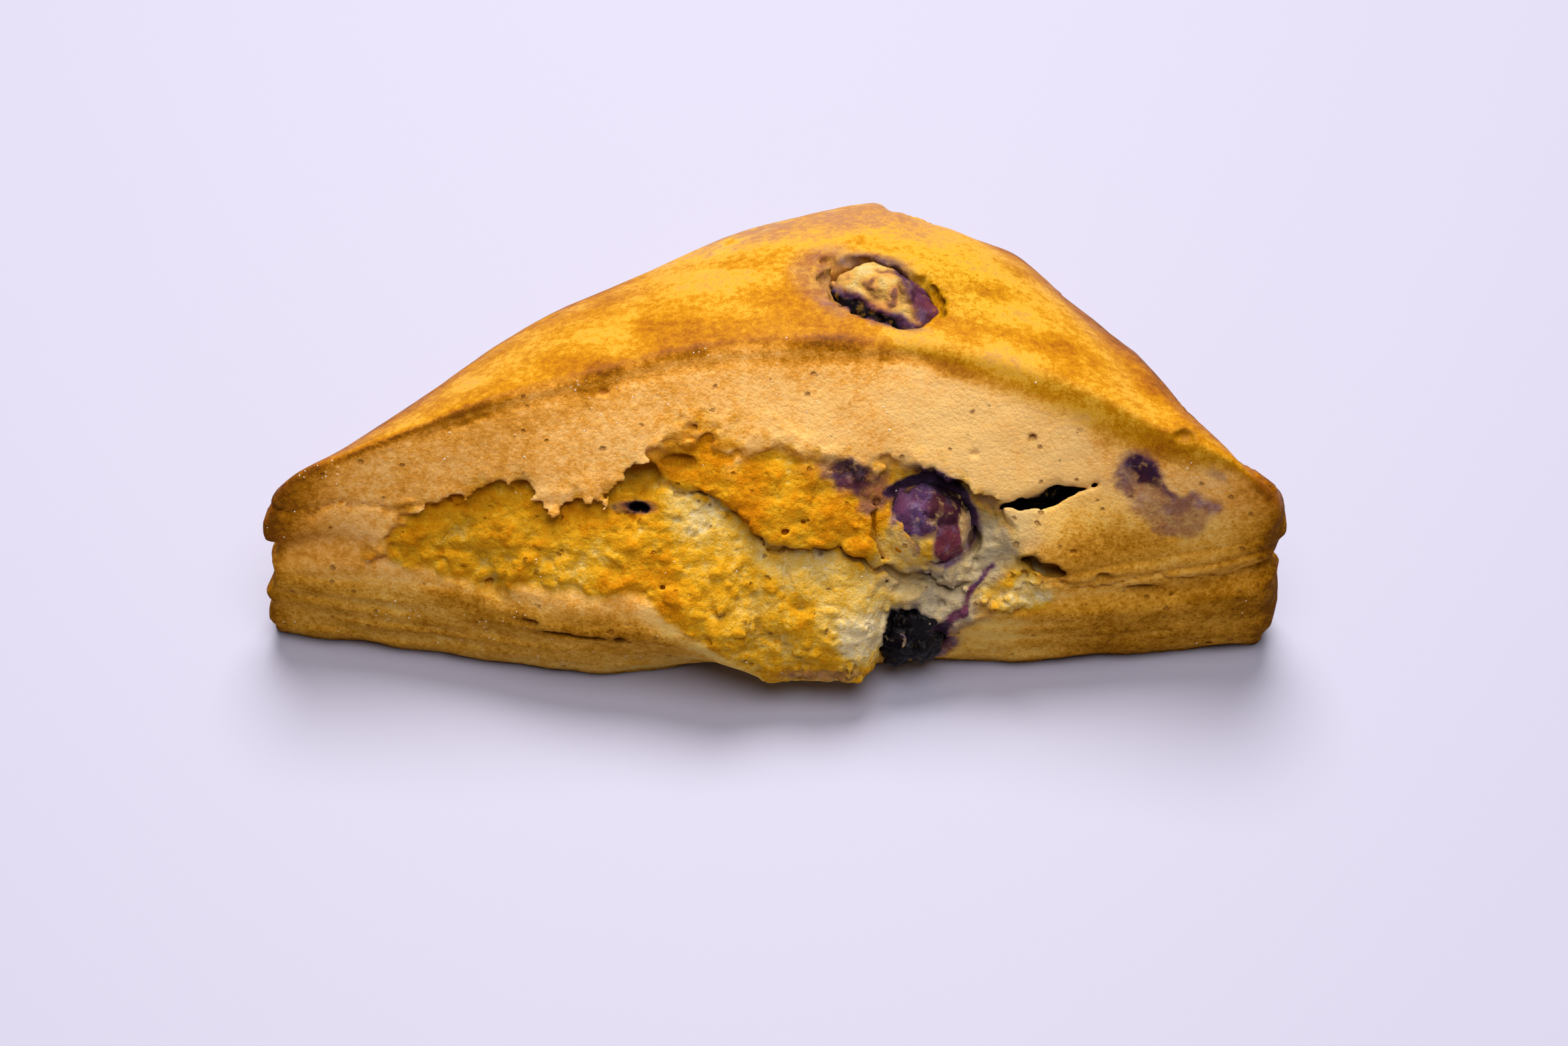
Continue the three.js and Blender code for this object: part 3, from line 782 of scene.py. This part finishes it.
def stain_and_shade_dough(place, masks):
    """Juice around the berries and in the crater, painted shadow at the crater's front and under the crust
    lip, painted shade in the hole and slot.
    """
    x, y, z = place.at
    juice, deep = np.zeros(len(x)), masks["deep"]
    for name, reach in JUICE_REACH.items():
        away = ellipsoid(x, y, z, **BERRIES[name]) + 0.9 * place.wide + 0.6 * place.small
        juice = np.maximum(juice, 0.8 * smooth(away, reach, -0.3))
    juice = juice * (1 - place.on_front) + place.painted("juice", juice) * place.on_front

    view = toward_back(x, y, z) + 0.5 * place.wide + 0.4 * place.small
    from_crater = ellipsoid(x, y, z, **CRATER)
    crater = smooth(from_crater + 0.4 * place.wide, 1.0, -0.4)
    crater = np.maximum(crater, smooth(ellipsoid(x, y, z, **CRATER_FRONT), 1.2, 0.4)) * smooth(z, 24, 28)
    back = smooth(view, 1.2, 3) * smooth(x, 19, 15)
    # Painted shadow: near black at the front of the crater, softer at its left.
    crater_shadow = smooth(view, -0.8, -2.4) * (0.35 + 0.65 * smooth(x, 7, 10))
    left = smooth(x, 10, 7)
    halo = 0.35 * bell((from_crater - 1) / 2.4) * smooth(z, 28, 32)
    juice = np.maximum(juice * smooth(view - 0.5 * (x - 20), 4, 1), np.maximum(0.45 * crater, halo) * left)
    juice = np.maximum(juice, crater * np.maximum(0.75 * back, 1.3 * crater_shadow))
    deep = np.maximum(deep, crater * np.maximum(0.5 * back, np.maximum(crater_shadow, 0.25 * left)))

    # Painted shadow of the crust lip: a near-black arc in the dough along the upper front berry's top.
    at = BERRIES["berry_front_upper"]["at"]
    along, rise = x - at[0], rise_over(at, y, z)
    around = np.hypot(along / 6.8, rise / 6.5) + 0.1 * place.wide + 0.05 * place.small
    lip_shadow = smooth(around, 0.75, 0.88) * smooth(around, 1.2, 1.02) * smooth(rise + 0.3 * along, 0.5, 3)
    juice, deep = np.maximum(juice, 1.25 * lip_shadow), np.maximum(deep, 0.8 * lip_shadow)
    # Painted shade: the dark hole and the slot go near black inside.
    depth = place.parts["depth"]
    for air in (ellipsoid(x, y, z, **DARK_HOLE), slot_air(x, y, z, depth)):
        inside = smooth(air, 0.7, 0.3) * smooth(depth, 0.7, 1.8)
        juice, deep = np.maximum(juice, inside), np.maximum(deep, inside)
    masks.update(juice=juice, deep=deep)


def stain_and_shade_upper_berry(place, masks):
    """A purple crown, a magenta right side, a near-black rim of painted shadow from the crust lip along its
    top, and dough clinging to the rest.
    """
    at = BERRIES["berry_front_upper"]["at"]
    along = place.x - at[0] + 0.7 * place.wide
    rise = rise_over(at, place.y, place.z) + 0.7 * place.small
    purple = smooth(np.hypot((along + 0.9) / 3.9, (rise - 2.2) / 4.2), 1.15, 0.8)
    magenta = smooth(np.hypot((along - 3.1) / 1.9, (rise + 2.6) / 5.2), 1.15, 0.7)
    mauve = smooth(np.hypot((along - 2.6) / 2.6, (rise - 2.4) / 3), 1.2, 0.7)
    # Painted shadow of the crust lip along the berry's top.
    lip_shadow = smooth(0.5 * along + 0.87 * rise, 3.9, 5.2)
    juice = np.maximum.reduce([purple, magenta, mauve, lip_shadow, 0.4 * smooth(along, 3.2, 5)])
    juice *= 1 - 0.16 * smooth(place.small, 0.25, 0.8)
    brown = bell((along + 2.8) / 2.4) * bell((rise + 4) / 2.4)
    masks.update(
        juice=juice, torn=1 - juice, bake=0.2 + 0.35 * place.wide + 0.35 * brown,
        hue=np.maximum(np.maximum(magenta, 0.9 * mauve), 0.3), deep=0.15 + np.maximum(0.8 * lip_shadow, 0.6 * mauve),
    )


def stain_and_sheen_lower_berry(place, masks):
    """Near-black, a little lighter on its crown as a painted sheen."""
    rise = rise_over(BERRIES["berry_front_lower"]["at"], place.y, place.z) + 0.5 * place.small
    # Painted sheen: lighter toward the crown.
    deep = 1.1 - 0.4 * smooth(place.small + place.wide, 0.3, 1) - 0.3 * smooth(rise, 2.44, 4.44)
    masks.update(juice=place.painted("juice", np.ones(len(rise))), hue=np.full(len(rise), 0.8), deep=deep)


def stain_and_shade_top_berry(place, masks):
    """Pale flesh behind and at the left, dark skin, redder at the right, and painted shadow near black in
    front.
    """
    view = toward_back(*place.at) + 0.5 * place.wide + 0.4 * place.small
    flesh = smooth(view, -1.6, 0) * smooth(place.x + 0.6 * view, 19.6, 17)
    flesh *= 1 - 0.6 * smooth(place.small, 0.3, 0.8)
    # Painted shadow: deep goes near black on the berry's front.
    masks.update(
        juice=0.9 - 0.87 * flesh, torn=flesh, bake=0.5 + 0.3 * place.wide + 0.3 * place.small,
        grey=0.35 * flesh, hue=0.35 + 0.4 * smooth(place.x, 15, 19),
        deep=smooth(view, -1.2, -2.6) * smooth(place.x, 18, 14) + 0.4,
    )


def stain_flush_berry(place, masks):
    masks.update(juice=place.painted("juice", np.zeros(len(place.x))), deep=place.painted("deep", DEEP_BERRY))


# Each node's stains, painted shadows and painted sheen.
STAINS_AND_SHADES = {
    "scone_body": stain_and_shade_dough, "berry_top": stain_and_shade_top_berry, "berry_front_upper": stain_and_shade_upper_berry,
    "berry_front_lower": stain_and_sheen_lower_berry, "berry_front_left": stain_flush_berry,
    "berry_right": stain_flush_berry,
}


def finish_masks(mesh, node):
    """Writes down for each point how washed, torn, baked, grey and stained it is."""
    place = Place(mesh)
    frayed = place.parts["fray"] * smooth(place.small + place.wide, -0.2, 0.7)
    torn = np.maximum(place.parts["torn"] * smooth(place.parts["depth"], 11, 8), 0.8 * frayed)
    # Besides how baked the dough is, this mask carries the painted shade under the torn crumb and the painted
    # sheen of the glaze.
    bake = crumb_bake(place) * torn
    bake += (crust_bake_and_shade(place) * (1 - place.washed) + glaze_bake_and_sheen(place) * place.washed) * (1 - torn)
    masks = {
        "washed": place.washed, "torn": torn, "bake": bake, "olive": olive_cast(place),
        "shade": hollow_shade(place), "grey": place.painted("grey", 0.0) * place.on_front,
        "hue": place.painted("hue", 0.25), "deep": place.painted("deep", DEEP_DOUGH),
    }
    STAINS_AND_SHADES[node](place, masks)
    for name, values in masks.items():
        store(mesh, name, np.clip(values, 0, HIGHEST_MASK))


def thin_out(piece):
    """Takes triangles away where the surface is smooth."""
    modifier = piece.modifiers.new("thin", "DECIMATE")
    modifier.ratio = KEPT_SHARE
    mesh = worked_out(piece)
    piece.modifiers.clear()
    return mesh


def make_dough(material):
    low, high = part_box("scone_body")
    axes = cell_centres(np.array(low) / MM, np.array(high) / MM)
    x, y, z = (axis.reshape(shape) for axis, shape in zip(axes, ((-1, 1, 1), (1, -1, 1), (1, 1, -1))))
    side = side_distance(x, y)
    plain, front = plain_distance(x, y, z, side)
    plain = np.broadcast_to(plain, [len(axis) for axis in axes])
    tear_zone = (z > tear_floor(x) - TEAR_MARGIN) & (z < tear_edge(x) + TEAR_MARGIN)
    tear_zone = tear_zone & (x > TEAR_LEFT) & (x < TEAR_RIGHT)
    near = (plain > -INWARD) & (plain < OUTWARD)
    near |= (front > -TEAR_INWARD) & (plain < 0) & tear_zone
    for solid in (CRATER, CRATER_FRONT, *BERRIES.values()):
        near |= ellipsoid(x, y, z, **solid) < 1
    i, j, k = np.nonzero(near)
    form = np.clip(plain, -BAND, BAND).astype(np.float32)
    form[i, j, k] = np.clip(dough_distance(axes[0][i], axes[1][j], axes[2][k], side[i, j, 0]), -BAND, BAND)
    form = kept_in_box(form, x, y, z)
    mesh = mesh_from_cells("dough_cells", form, [axis[0] for axis in axes])
    largest_part(mesh)
    flatten_foot(mesh)
    cells = put("dough_cells", mesh)
    thinned = thin_out(cells)
    bpy.data.objects.remove(cells)
    thinned.name = "dough"
    points = np.empty(len(thinned.vertices) * 3)
    thinned.vertices.foreach_get("co", points)
    points[2::3] = np.maximum(points[2::3], 0)
    thinned.vertices.foreach_set("co", points)
    finish_masks(thinned, "scone_body")
    return add_piece("dough", thinned, "scone_body", material)


# ---- Berries ----------------------------------------------------------------------------------


def make_berry(name, material):
    berry = BERRIES[name]
    reach = max(berry["half"]) + 1
    axes = [np.arange(c - reach, c + reach, BERRY_CELL) for c in berry["at"]]
    x, y, z = (grid.ravel() for grid in np.meshgrid(*axes, indexing="ij"))
    seed = FIRST_BERRY_SEED + list(BERRIES).index(name)
    rough = 0.6 * clumps(x, y, z, 4.2, seed) + 0.45 * clumps(x, y, z, 2.1, seed + 10)
    rough += 0.2 * clumps(x, y, z, 1.1, seed + 20) - 0.2
    form = berry_solid(name, x, y, z) - WRINKLES[name] * rough
    if name in FLUSH_BERRIES:
        near = form < 2
        at = x[near], y[near], z[near]
        outer = whole_dough(*at, surfaces(*at, side_distance(at[0], at[1])))
        form[near] = np.maximum(form[near], outer - FLUSH_STANDOUT)
    if name == "berry_top":
        form = blend_max(form, z - BERRY_TOP_HEIGHT - 0.5 * toward_back(x, y, z) - 0.9 * rough, 1.0)
    form = np.clip(kept_in_box(form, x, y, z), -BAND, BAND).reshape([len(axis) for axis in axes])
    mesh = mesh_from_cells(name + "_skin", form, [axis[0] for axis in axes], BERRY_CELL)
    largest_part(mesh)
    finish_masks(mesh, name)
    return add_piece(name + "_skin", mesh, name, material)


# ---- Materials --------------------------------------------------------------------------------

OLIVE_TINT = (0.91, 1, 0.66, 1)
SHADE_TINT = (0.3, 0.25, 0.14, 1)
FLESH_RADIUS = (0.0015, 0.0009, 0.0004)  # how far red, green and blue light travels in the dough


class Nodes:
    """A short way to write a material's node tree."""

    def __init__(self, name):
        self.material = bpy.data.materials.new(name)
        self.material.use_nodes = True
        self.tree = self.material.node_tree
        self.shader = self.tree.nodes["Principled BSDF"]
        self.place = self.add("ShaderNodeTexCoord").outputs["Object"]

    def add(self, kind, **settings):
        node = self.tree.nodes.new(kind)
        for key, value in settings.items():
            setattr(node, key, value)
        return node

    def link(self, value, socket):
        if isinstance(value, bpy.types.NodeSocket):
            self.tree.links.new(value, socket)
        else:
            socket.default_value = value

    def mask(self, name):
        return self.add("ShaderNodeAttribute", attribute_name=name).outputs["Fac"]

    def noise(self, size, detail=3.0, rough=0.55):
        node = self.add("ShaderNodeTexNoise")
        self.link(self.place, node.inputs["Vector"])
        node.inputs["Scale"].default_value = 1 / (size * MM)
        node.inputs["Detail"].default_value = detail
        node.inputs["Roughness"].default_value = rough
        return node.outputs["Fac"]

    def cells(self, size):
        """The distance to the middle of random cells, and a random number for each cell."""
        node = self.add("ShaderNodeTexVoronoi")
        self.link(self.place, node.inputs["Vector"])
        node.inputs["Scale"].default_value = 1 / (size * MM)
        parts = self.add("ShaderNodeSeparateColor")
        self.link(node.outputs["Color"], parts.inputs["Color"])
        return node.outputs["Distance"], parts.outputs["Red"]

    def ramp(self, value, *stops):
        node = self.add("ShaderNodeValToRGB")
        self.link(value, node.inputs["Fac"])
        points = node.color_ramp.elements
        while len(points) < len(stops):
            points.new(1.0)
        for point, (position, colour) in zip(points, stops):
            point.position = position
            point.color = colour
        return node.outputs["Color"]

    def span(self, value, low, high, to_low=0.0, to_high=1.0):
        node = self.add("ShaderNodeMapRange", interpolation_type="SMOOTHSTEP")
        self.link(value, node.inputs["Value"])
        for key, number in (("From Min", low), ("From Max", high), ("To Min", to_low), ("To Max", to_high)):
            node.inputs[key].default_value = number
        return node.outputs["Result"]

    def math(self, operation, a, b):
        node = self.add("ShaderNodeMath", operation=operation)
        self.link(a, node.inputs[0])
        self.link(b, node.inputs[1])
        return node.outputs[0]

    def plus(self, a, b):
        return self.math("ADD", a, b)

    def minus(self, a, b):
        return self.math("SUBTRACT", a, b)

    def times(self, a, b):
        return self.math("MULTIPLY", a, b)

    def mix(self, share, a, b, kind="RGBA", blend="MIX"):
        node = self.add("ShaderNodeMix", data_type=kind, blend_type=blend)
        self.link(share, node.inputs["Factor"])
        self.link(a, node.inputs["A"])
        self.link(b, node.inputs["B"])
        return node.outputs["Result"]

    def tint(self, share, colour, tint):
        """Multiplies a colour by a tint, by share."""
        return self.mix(share, colour, tint, blend="MULTIPLY")

    def bump(self, height, strength, distance):
        node = self.add("ShaderNodeBump")
        node.inputs["Strength"].default_value = strength
        node.inputs["Distance"].default_value = distance * MM
        self.link(height, node.inputs["Height"])
        return node.outputs["Normal"]


def srgb(red, green, blue):
    """A colour as seen on screen, 0 to 255, in the shader's own linear numbers."""
    linear = (
        ((value / 255 + 0.055) / 1.055) ** 2.4 if value > 10 else value / 255 / 12.92
        for value in (red, green, blue)
    )
    return (*linear, 1)


class DoughNodes(Nodes):
    """The masks, noises and pores that the dough's colour, gloss and relief share."""

    def __init__(self, name):
        super().__init__(name)
        self.washed, self.torn, self.juice = (self.mask(mask) for mask in ("washed", "torn", "juice"))
        self.flat = self.times(self.washed, self.minus(1.0, self.torn))
        self.middle, self.fine = self.noise(4.5, 4), self.noise(1.1, 4, 0.65)
        self.speck = self.noise(0.3, 3, 0.7)
        self.grains, _ = self.cells(0.62)
        self.knobs, _ = self.cells(1.3)
        pore, chance = self.cells(2.6)
        pore = self.times(pore, self.span(self.fine, 0.2, 0.8, 0.45, 2))
        holes = self.times(self.span(pore, 0.2, 0.07), self.span(chance, 0.42, 0.44))
        self.holes = self.times(holes, self.minus(1.0, self.flat))


def dough_tone(n):
    """How brown the dough is: its bake, broken up by the grain of the crust and the crumb."""
    calm = n.span(n.torn, 0, 1, 0.16, 0.09)
    tone = n.plus(n.mask("bake"), n.times(n.span(n.fine, 0.25, 0.75, -1, 1), calm))
    tone = n.plus(tone, n.span(n.middle, 0.3, 0.7, -0.07, 0.07))
    tone = n.plus(n.times(tone, 0.75), n.span(n.speck, 0.3, 0.7, -0.07, 0.07))
    tone = n.plus(tone, n.times(n.mask("olive"), n.span(n.grains, 0.1, 0.55, 0.08, -0.05)))
    return n.plus(tone, n.times(n.torn, n.span(n.knobs, 0.1, 0.6, -0.03, 0.05)))


def baked_colour(n):
    tone = dough_tone(n)
    crust = n.ramp(
        tone, (0.1, srgb(242, 192, 116)), (0.3, srgb(240, 181, 100)), (0.48, srgb(221, 150, 56)),
        (0.72, srgb(172, 106, 10)), (0.95, srgb(118, 66, 4)),
    )
    # The glaze's first, pinkish stop is the colour of the painted sheen at the tip.
    glaze = n.ramp(
        tone, (0.0, srgb(161, 108, 64)), (0.28, srgb(204, 149, 40)), (0.42, srgb(180, 118, 2)),
        (0.64, srgb(148, 84, 2)), (0.9, srgb(94, 48, 2)),
    )
    crumb = n.ramp(
        tone, (0.02, srgb(218, 194, 144)), (0.18, srgb(214, 174, 84)), (0.36, srgb(208, 150, 22)),
        (0.58, srgb(192, 118, 2)), (0.85, srgb(144, 80, 0)),
    )
    colour = n.tint(n.mask("olive"), n.mix(n.washed, crust, glaze), OLIVE_TINT)
    colour = n.mix(n.torn, colour, crumb)
    grey = n.times(n.mask("grey"), n.span(n.fine, 0.2, 0.7, 0.5, 0.9))
    colour = n.mix(grey, colour, srgb(160, 147, 126))
    # Painted shade: the pores are darkened toward brown inside.
    colour = n.mix(n.times(n.holes, 0.6), colour, srgb(140, 72, 8))
    return n.tint(n.mask("shade"), colour, SHADE_TINT)


def fruit_colour(n):
    """Purple to magenta skin under a pale bloom, near black where it is deep."""
    redness = n.plus(n.mask("hue"), n.span(n.middle, 0.3, 0.7, -0.25, 0.25))
    skin = n.mix(redness, srgb(70, 48, 84), srgb(118, 52, 64))
    bloom = n.span(n.noise(2.4, 4, 0.6), 0.5, 0.68, 0, 0.6)
    skin = n.mix(bloom, skin, srgb(130, 108, 136))
    return n.mix(n.mask("deep"), skin, srgb(8, 3, 6))


def dough_relief(n):
    """Fine grain on the crust, clods and pores in the crumb, next to nothing on the glaze."""
    grain = n.minus(n.times(n.speck, 0.36), n.times(n.grains, 0.2))
    grain = n.plus(grain, n.times(n.fine, 0.12))
    clods = n.plus(n.times(n.fine, 0.8), n.times(n.span(n.knobs, 0.08, 0.4), 0.22))
    height = n.plus(grain, n.times(clods, n.torn))
    height = n.minus(height, n.times(n.holes, 0.9))
    return n.bump(n.times(height, n.span(n.flat, 0, 1, 1.0, 0.3)), 0.8, 0.5)


def dough_material(name, fruit_roughness=0.6, shine=0.06):
    """Crust, glaze, crumb and fruit skin, each where its mask says."""
    n = DoughNodes(name)
    # Where the juice mask holds, the fruit colour shows: berry juice and skin, and the painted near-black
    # shadows.
    share = n.times(n.juice, n.span(n.fine, 0.2, 0.55, 0.7, 1.15))
    matte, glazed = n.span(n.fine, 0.3, 0.7, 0.78, 0.95), n.span(n.middle, 0.3, 0.7, 0.42, 0.56)
    wet = n.span(n.fine, 0.3, 0.7, fruit_roughness, fruit_roughness + 0.2)
    rough = n.mix(n.juice, n.mix(n.flat, matte, glazed, kind="FLOAT"), wet, kind="FLOAT")
    n.link(n.mix(share, baked_colour(n), fruit_colour(n)), n.shader.inputs["Base Color"])
    n.link(rough, n.shader.inputs["Roughness"])
    n.link(dough_relief(n), n.shader.inputs["Normal"])
    n.shader.inputs["Specular IOR Level"].default_value = shine
    n.shader.inputs["Subsurface Weight"].default_value = 0.08
    n.shader.inputs["Subsurface Radius"].default_value = FLESH_RADIUS
    n.shader.inputs["Subsurface Scale"].default_value = 1.0
    return n.material


# ---- Flour and sugar --------------------------------------------------------------------------

NO_TURN, FULL_TURN = (0, 0, 0), (6.28, 6.28, 6.28)
SMALLEST_GRAIN, LARGEST_GRAIN = (0.35, 0.35, 0.35), (1.1, 1.0, 0.9)  # shares of the grain size
GRAINS_PER_SQUARE_METRE = 7e6
GRAIN_SIZE = 0.16 * MM
GRAIN_SEED = 7


def grain_tree():
    """Scatters realized grains over a surface where its 'floured' mask allows."""
    tree = bpy.data.node_groups.new("scattered_grains", "GeometryNodeTree")
    face = tree.interface
    face.new_socket("Geometry", in_out="INPUT", socket_type="NodeSocketGeometry")
    for name, kind in (
        ("Grains per Square Metre", "NodeSocketFloat"), ("Grain Size", "NodeSocketFloat"),
        ("Seed", "NodeSocketInt"), ("Grain Material", "NodeSocketMaterial"),
    ):
        face.new_socket(name, in_out="INPUT", socket_type=kind)
    face.new_socket("Geometry", in_out="OUTPUT", socket_type="NodeSocketGeometry")
    given, made = tree.nodes.new("NodeGroupInput"), tree.nodes.new("NodeGroupOutput")

    def add(kind, **links):
        node = tree.nodes.new(kind)
        for name, value in links.items():
            socket = node.inputs[name.replace("_", " ")]
            if isinstance(value, bpy.types.NodeSocket):
                tree.links.new(value, socket)
            else:
                socket.default_value = value
        return node

    mask = add("GeometryNodeInputNamedAttribute", Name="floured")
    amount = add("ShaderNodeMath")
    amount.operation = "MULTIPLY"
    tree.links.new(mask.outputs[0], amount.inputs[0])
    tree.links.new(given.outputs["Grains per Square Metre"], amount.inputs[1])
    scatter = add(
        "GeometryNodeDistributePointsOnFaces", Mesh=given.outputs["Geometry"], Density=amount.outputs[0],
        Seed=given.outputs["Seed"],
    )
    grain = add("GeometryNodeMeshIcoSphere", Radius=given.outputs["Grain Size"], Subdivisions=1)
    turn, size = add("FunctionNodeRandomValue"), add("FunctionNodeRandomValue")
    for draw, low, high in ((turn, NO_TURN, FULL_TURN), (size, SMALLEST_GRAIN, LARGEST_GRAIN)):
        draw.data_type = "FLOAT_VECTOR"
        draw.inputs[0].default_value = low
        draw.inputs[1].default_value = high
    placed = add(
        "GeometryNodeInstanceOnPoints", Points=scatter.outputs["Points"], Instance=grain.outputs["Mesh"],
        Rotation=turn.outputs[0], Scale=size.outputs[0],
    )
    real = add("GeometryNodeRealizeInstances", Geometry=placed.outputs["Instances"])
    dressed = add("GeometryNodeSetMaterial", Geometry=real.outputs["Geometry"])
    tree.links.new(given.outputs["Grain Material"], dressed.inputs["Material"])
    tree.links.new(dressed.outputs["Geometry"], made.inputs["Geometry"])
    return tree


def make_grains(dough, material):
    x, y, z = read_points(dough.data)
    parts = surfaces(x, y, z, side_distance(x, y))
    ridge = bell((parts["top"] - parts["front"] + 0.8) / 2.6)
    ridge = ridge * smooth(x, -64, -50) * smooth(x, 16, -8) * smooth(z, 3, 6)
    ridge = 0.35 * ridge * (1 + 1.8 * bell((x + 33) / 6))
    slab = 0.35 * smooth(parts["front"], -0.6, -0.2) * (0.02 + 0.12 * smooth(x, -20, -40)) * smooth(z, 2, 4)
    patchy = smooth(lumps(x, y, z, 5, 41) + 0.5 * lumps(x, y, z, 2, 42), 0.1, 0.7)
    store(dough.data, "floured", np.clip(ridge + slab, 0, 1) * patchy)
    holder = put("flour_source", dough.data.copy())
    modifier = holder.modifiers.new("grains", "NODES")
    modifier.node_group = grain_tree()
    values = {
        "Grains per Square Metre": GRAINS_PER_SQUARE_METRE, "Grain Size": GRAIN_SIZE, "Seed": GRAIN_SEED,
        "Grain Material": material,
    }
    for item in modifier.node_group.interface.items_tree:
        if item.in_out == "INPUT" and item.name in values:
            modifier[item.identifier] = values[item.name]
    mesh = worked_out(holder)
    holder.modifiers.clear()
    bpy.data.objects.remove(holder)
    grains = put("flour_grains", mesh)
    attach(grains, "root")


def flour_material():
    n = Nodes("flour_and_sugar")
    white = n.mix(n.span(n.noise(1.2), 0.4, 0.6), srgb(236, 226, 214), srgb(226, 206, 178))
    n.link(white, n.shader.inputs["Base Color"])
    n.link(n.span(n.noise(0.5), 0.3, 0.7, 0.35, 0.6), n.shader.inputs["Roughness"])
    return n.material


# ---- The room ---------------------------------------------------------------------------------

LOOK_AT = Vector((1.1, -3.7, 0)) * MM
CAMERA_DISTANCE = 507.75 * MM
CAMERA_ELEVATION = math.radians(51.7)
CAMERA_ROLL = math.radians(1.9)
CAMERA_LENS = 80.85
FLOOR_REACH = 3.0
LIT_POINT = Vector((0, 0, 0.02))


def make_camera():
    camera = put("camera", bpy.data.cameras.new("camera"))
    back = Vector((0, -math.cos(CAMERA_ELEVATION), math.sin(CAMERA_ELEVATION)))
    right = Vector((1, 0, 0))
    up = back.cross(right)
    tilted_right = right * math.cos(CAMERA_ROLL) + up * math.sin(CAMERA_ROLL)
    tilted_up = up * math.cos(CAMERA_ROLL) - right * math.sin(CAMERA_ROLL)
    turn = Matrix((tilted_right, tilted_up, back)).transposed().to_4x4()
    camera.matrix_world = Matrix.Translation(LOOK_AT + back * CAMERA_DISTANCE) @ turn
    camera.data.sensor_width = 36
    camera.data.lens = CAMERA_LENS
    camera.data.clip_start = 0.01
    bpy.context.scene.camera = camera


def make_floor():
    mesh = bpy.data.meshes.new("floor")
    far = FLOOR_REACH
    corners = [(-far, -far, 0), (far, -far, 0), (far, far, 0), (-far, far, 0)]
    mesh.from_pydata(corners, [], [(0, 1, 2, 3)])
    floor = put("floor", mesh)
    n = Nodes("pale_floor")
    n.shader.inputs["Base Color"].default_value = srgb(164, 160, 177)
    n.shader.inputs["Roughness"].default_value = 0.6
    mesh.materials.append(n.material)


def add_light(name, at, size, power, tint):
    light = bpy.data.lights.new(name, "AREA")
    light.shape = "DISK"
    light.size = size
    light.energy = power
    light.color = tint
    holder = put(name, light)
    holder.location = at
    holder.rotation_euler = (LIT_POINT - Vector(at)).to_track_quat("-Z", "Y").to_euler()


def make_lights():
    add_light("window", at=(-0.04, 0.6, 1.04), size=0.7, power=21, tint=(1.0, 0.99, 1.0))
    add_light("ceiling", at=(0.05, -0.25, 1.2), size=0.9, power=11.5, tint=(0.98, 0.98, 1.0))
    world = bpy.data.worlds.new("soft_room")
    bpy.context.scene.world = world
    world.use_nodes = True
    background = world.node_tree.nodes["Background"]
    background.inputs["Color"].default_value = (0.95, 0.95, 1.0, 1)
    background.inputs["Strength"].default_value = 0.08


bpy.context.scene.view_settings.view_transform = "Standard"
make_camera()
make_floor()
make_lights()
dough = make_dough(dough_material("baked_dough"))
fruit_skin = dough_material("berry_skin")
wet_skin = dough_material("wet_berry_skin", fruit_roughness=0.24, shine=0.16)
for berry_name in BERRIES:
    make_berry(berry_name, wet_skin if berry_name == "berry_front_lower" else fruit_skin)
make_grains(dough, flour_material())
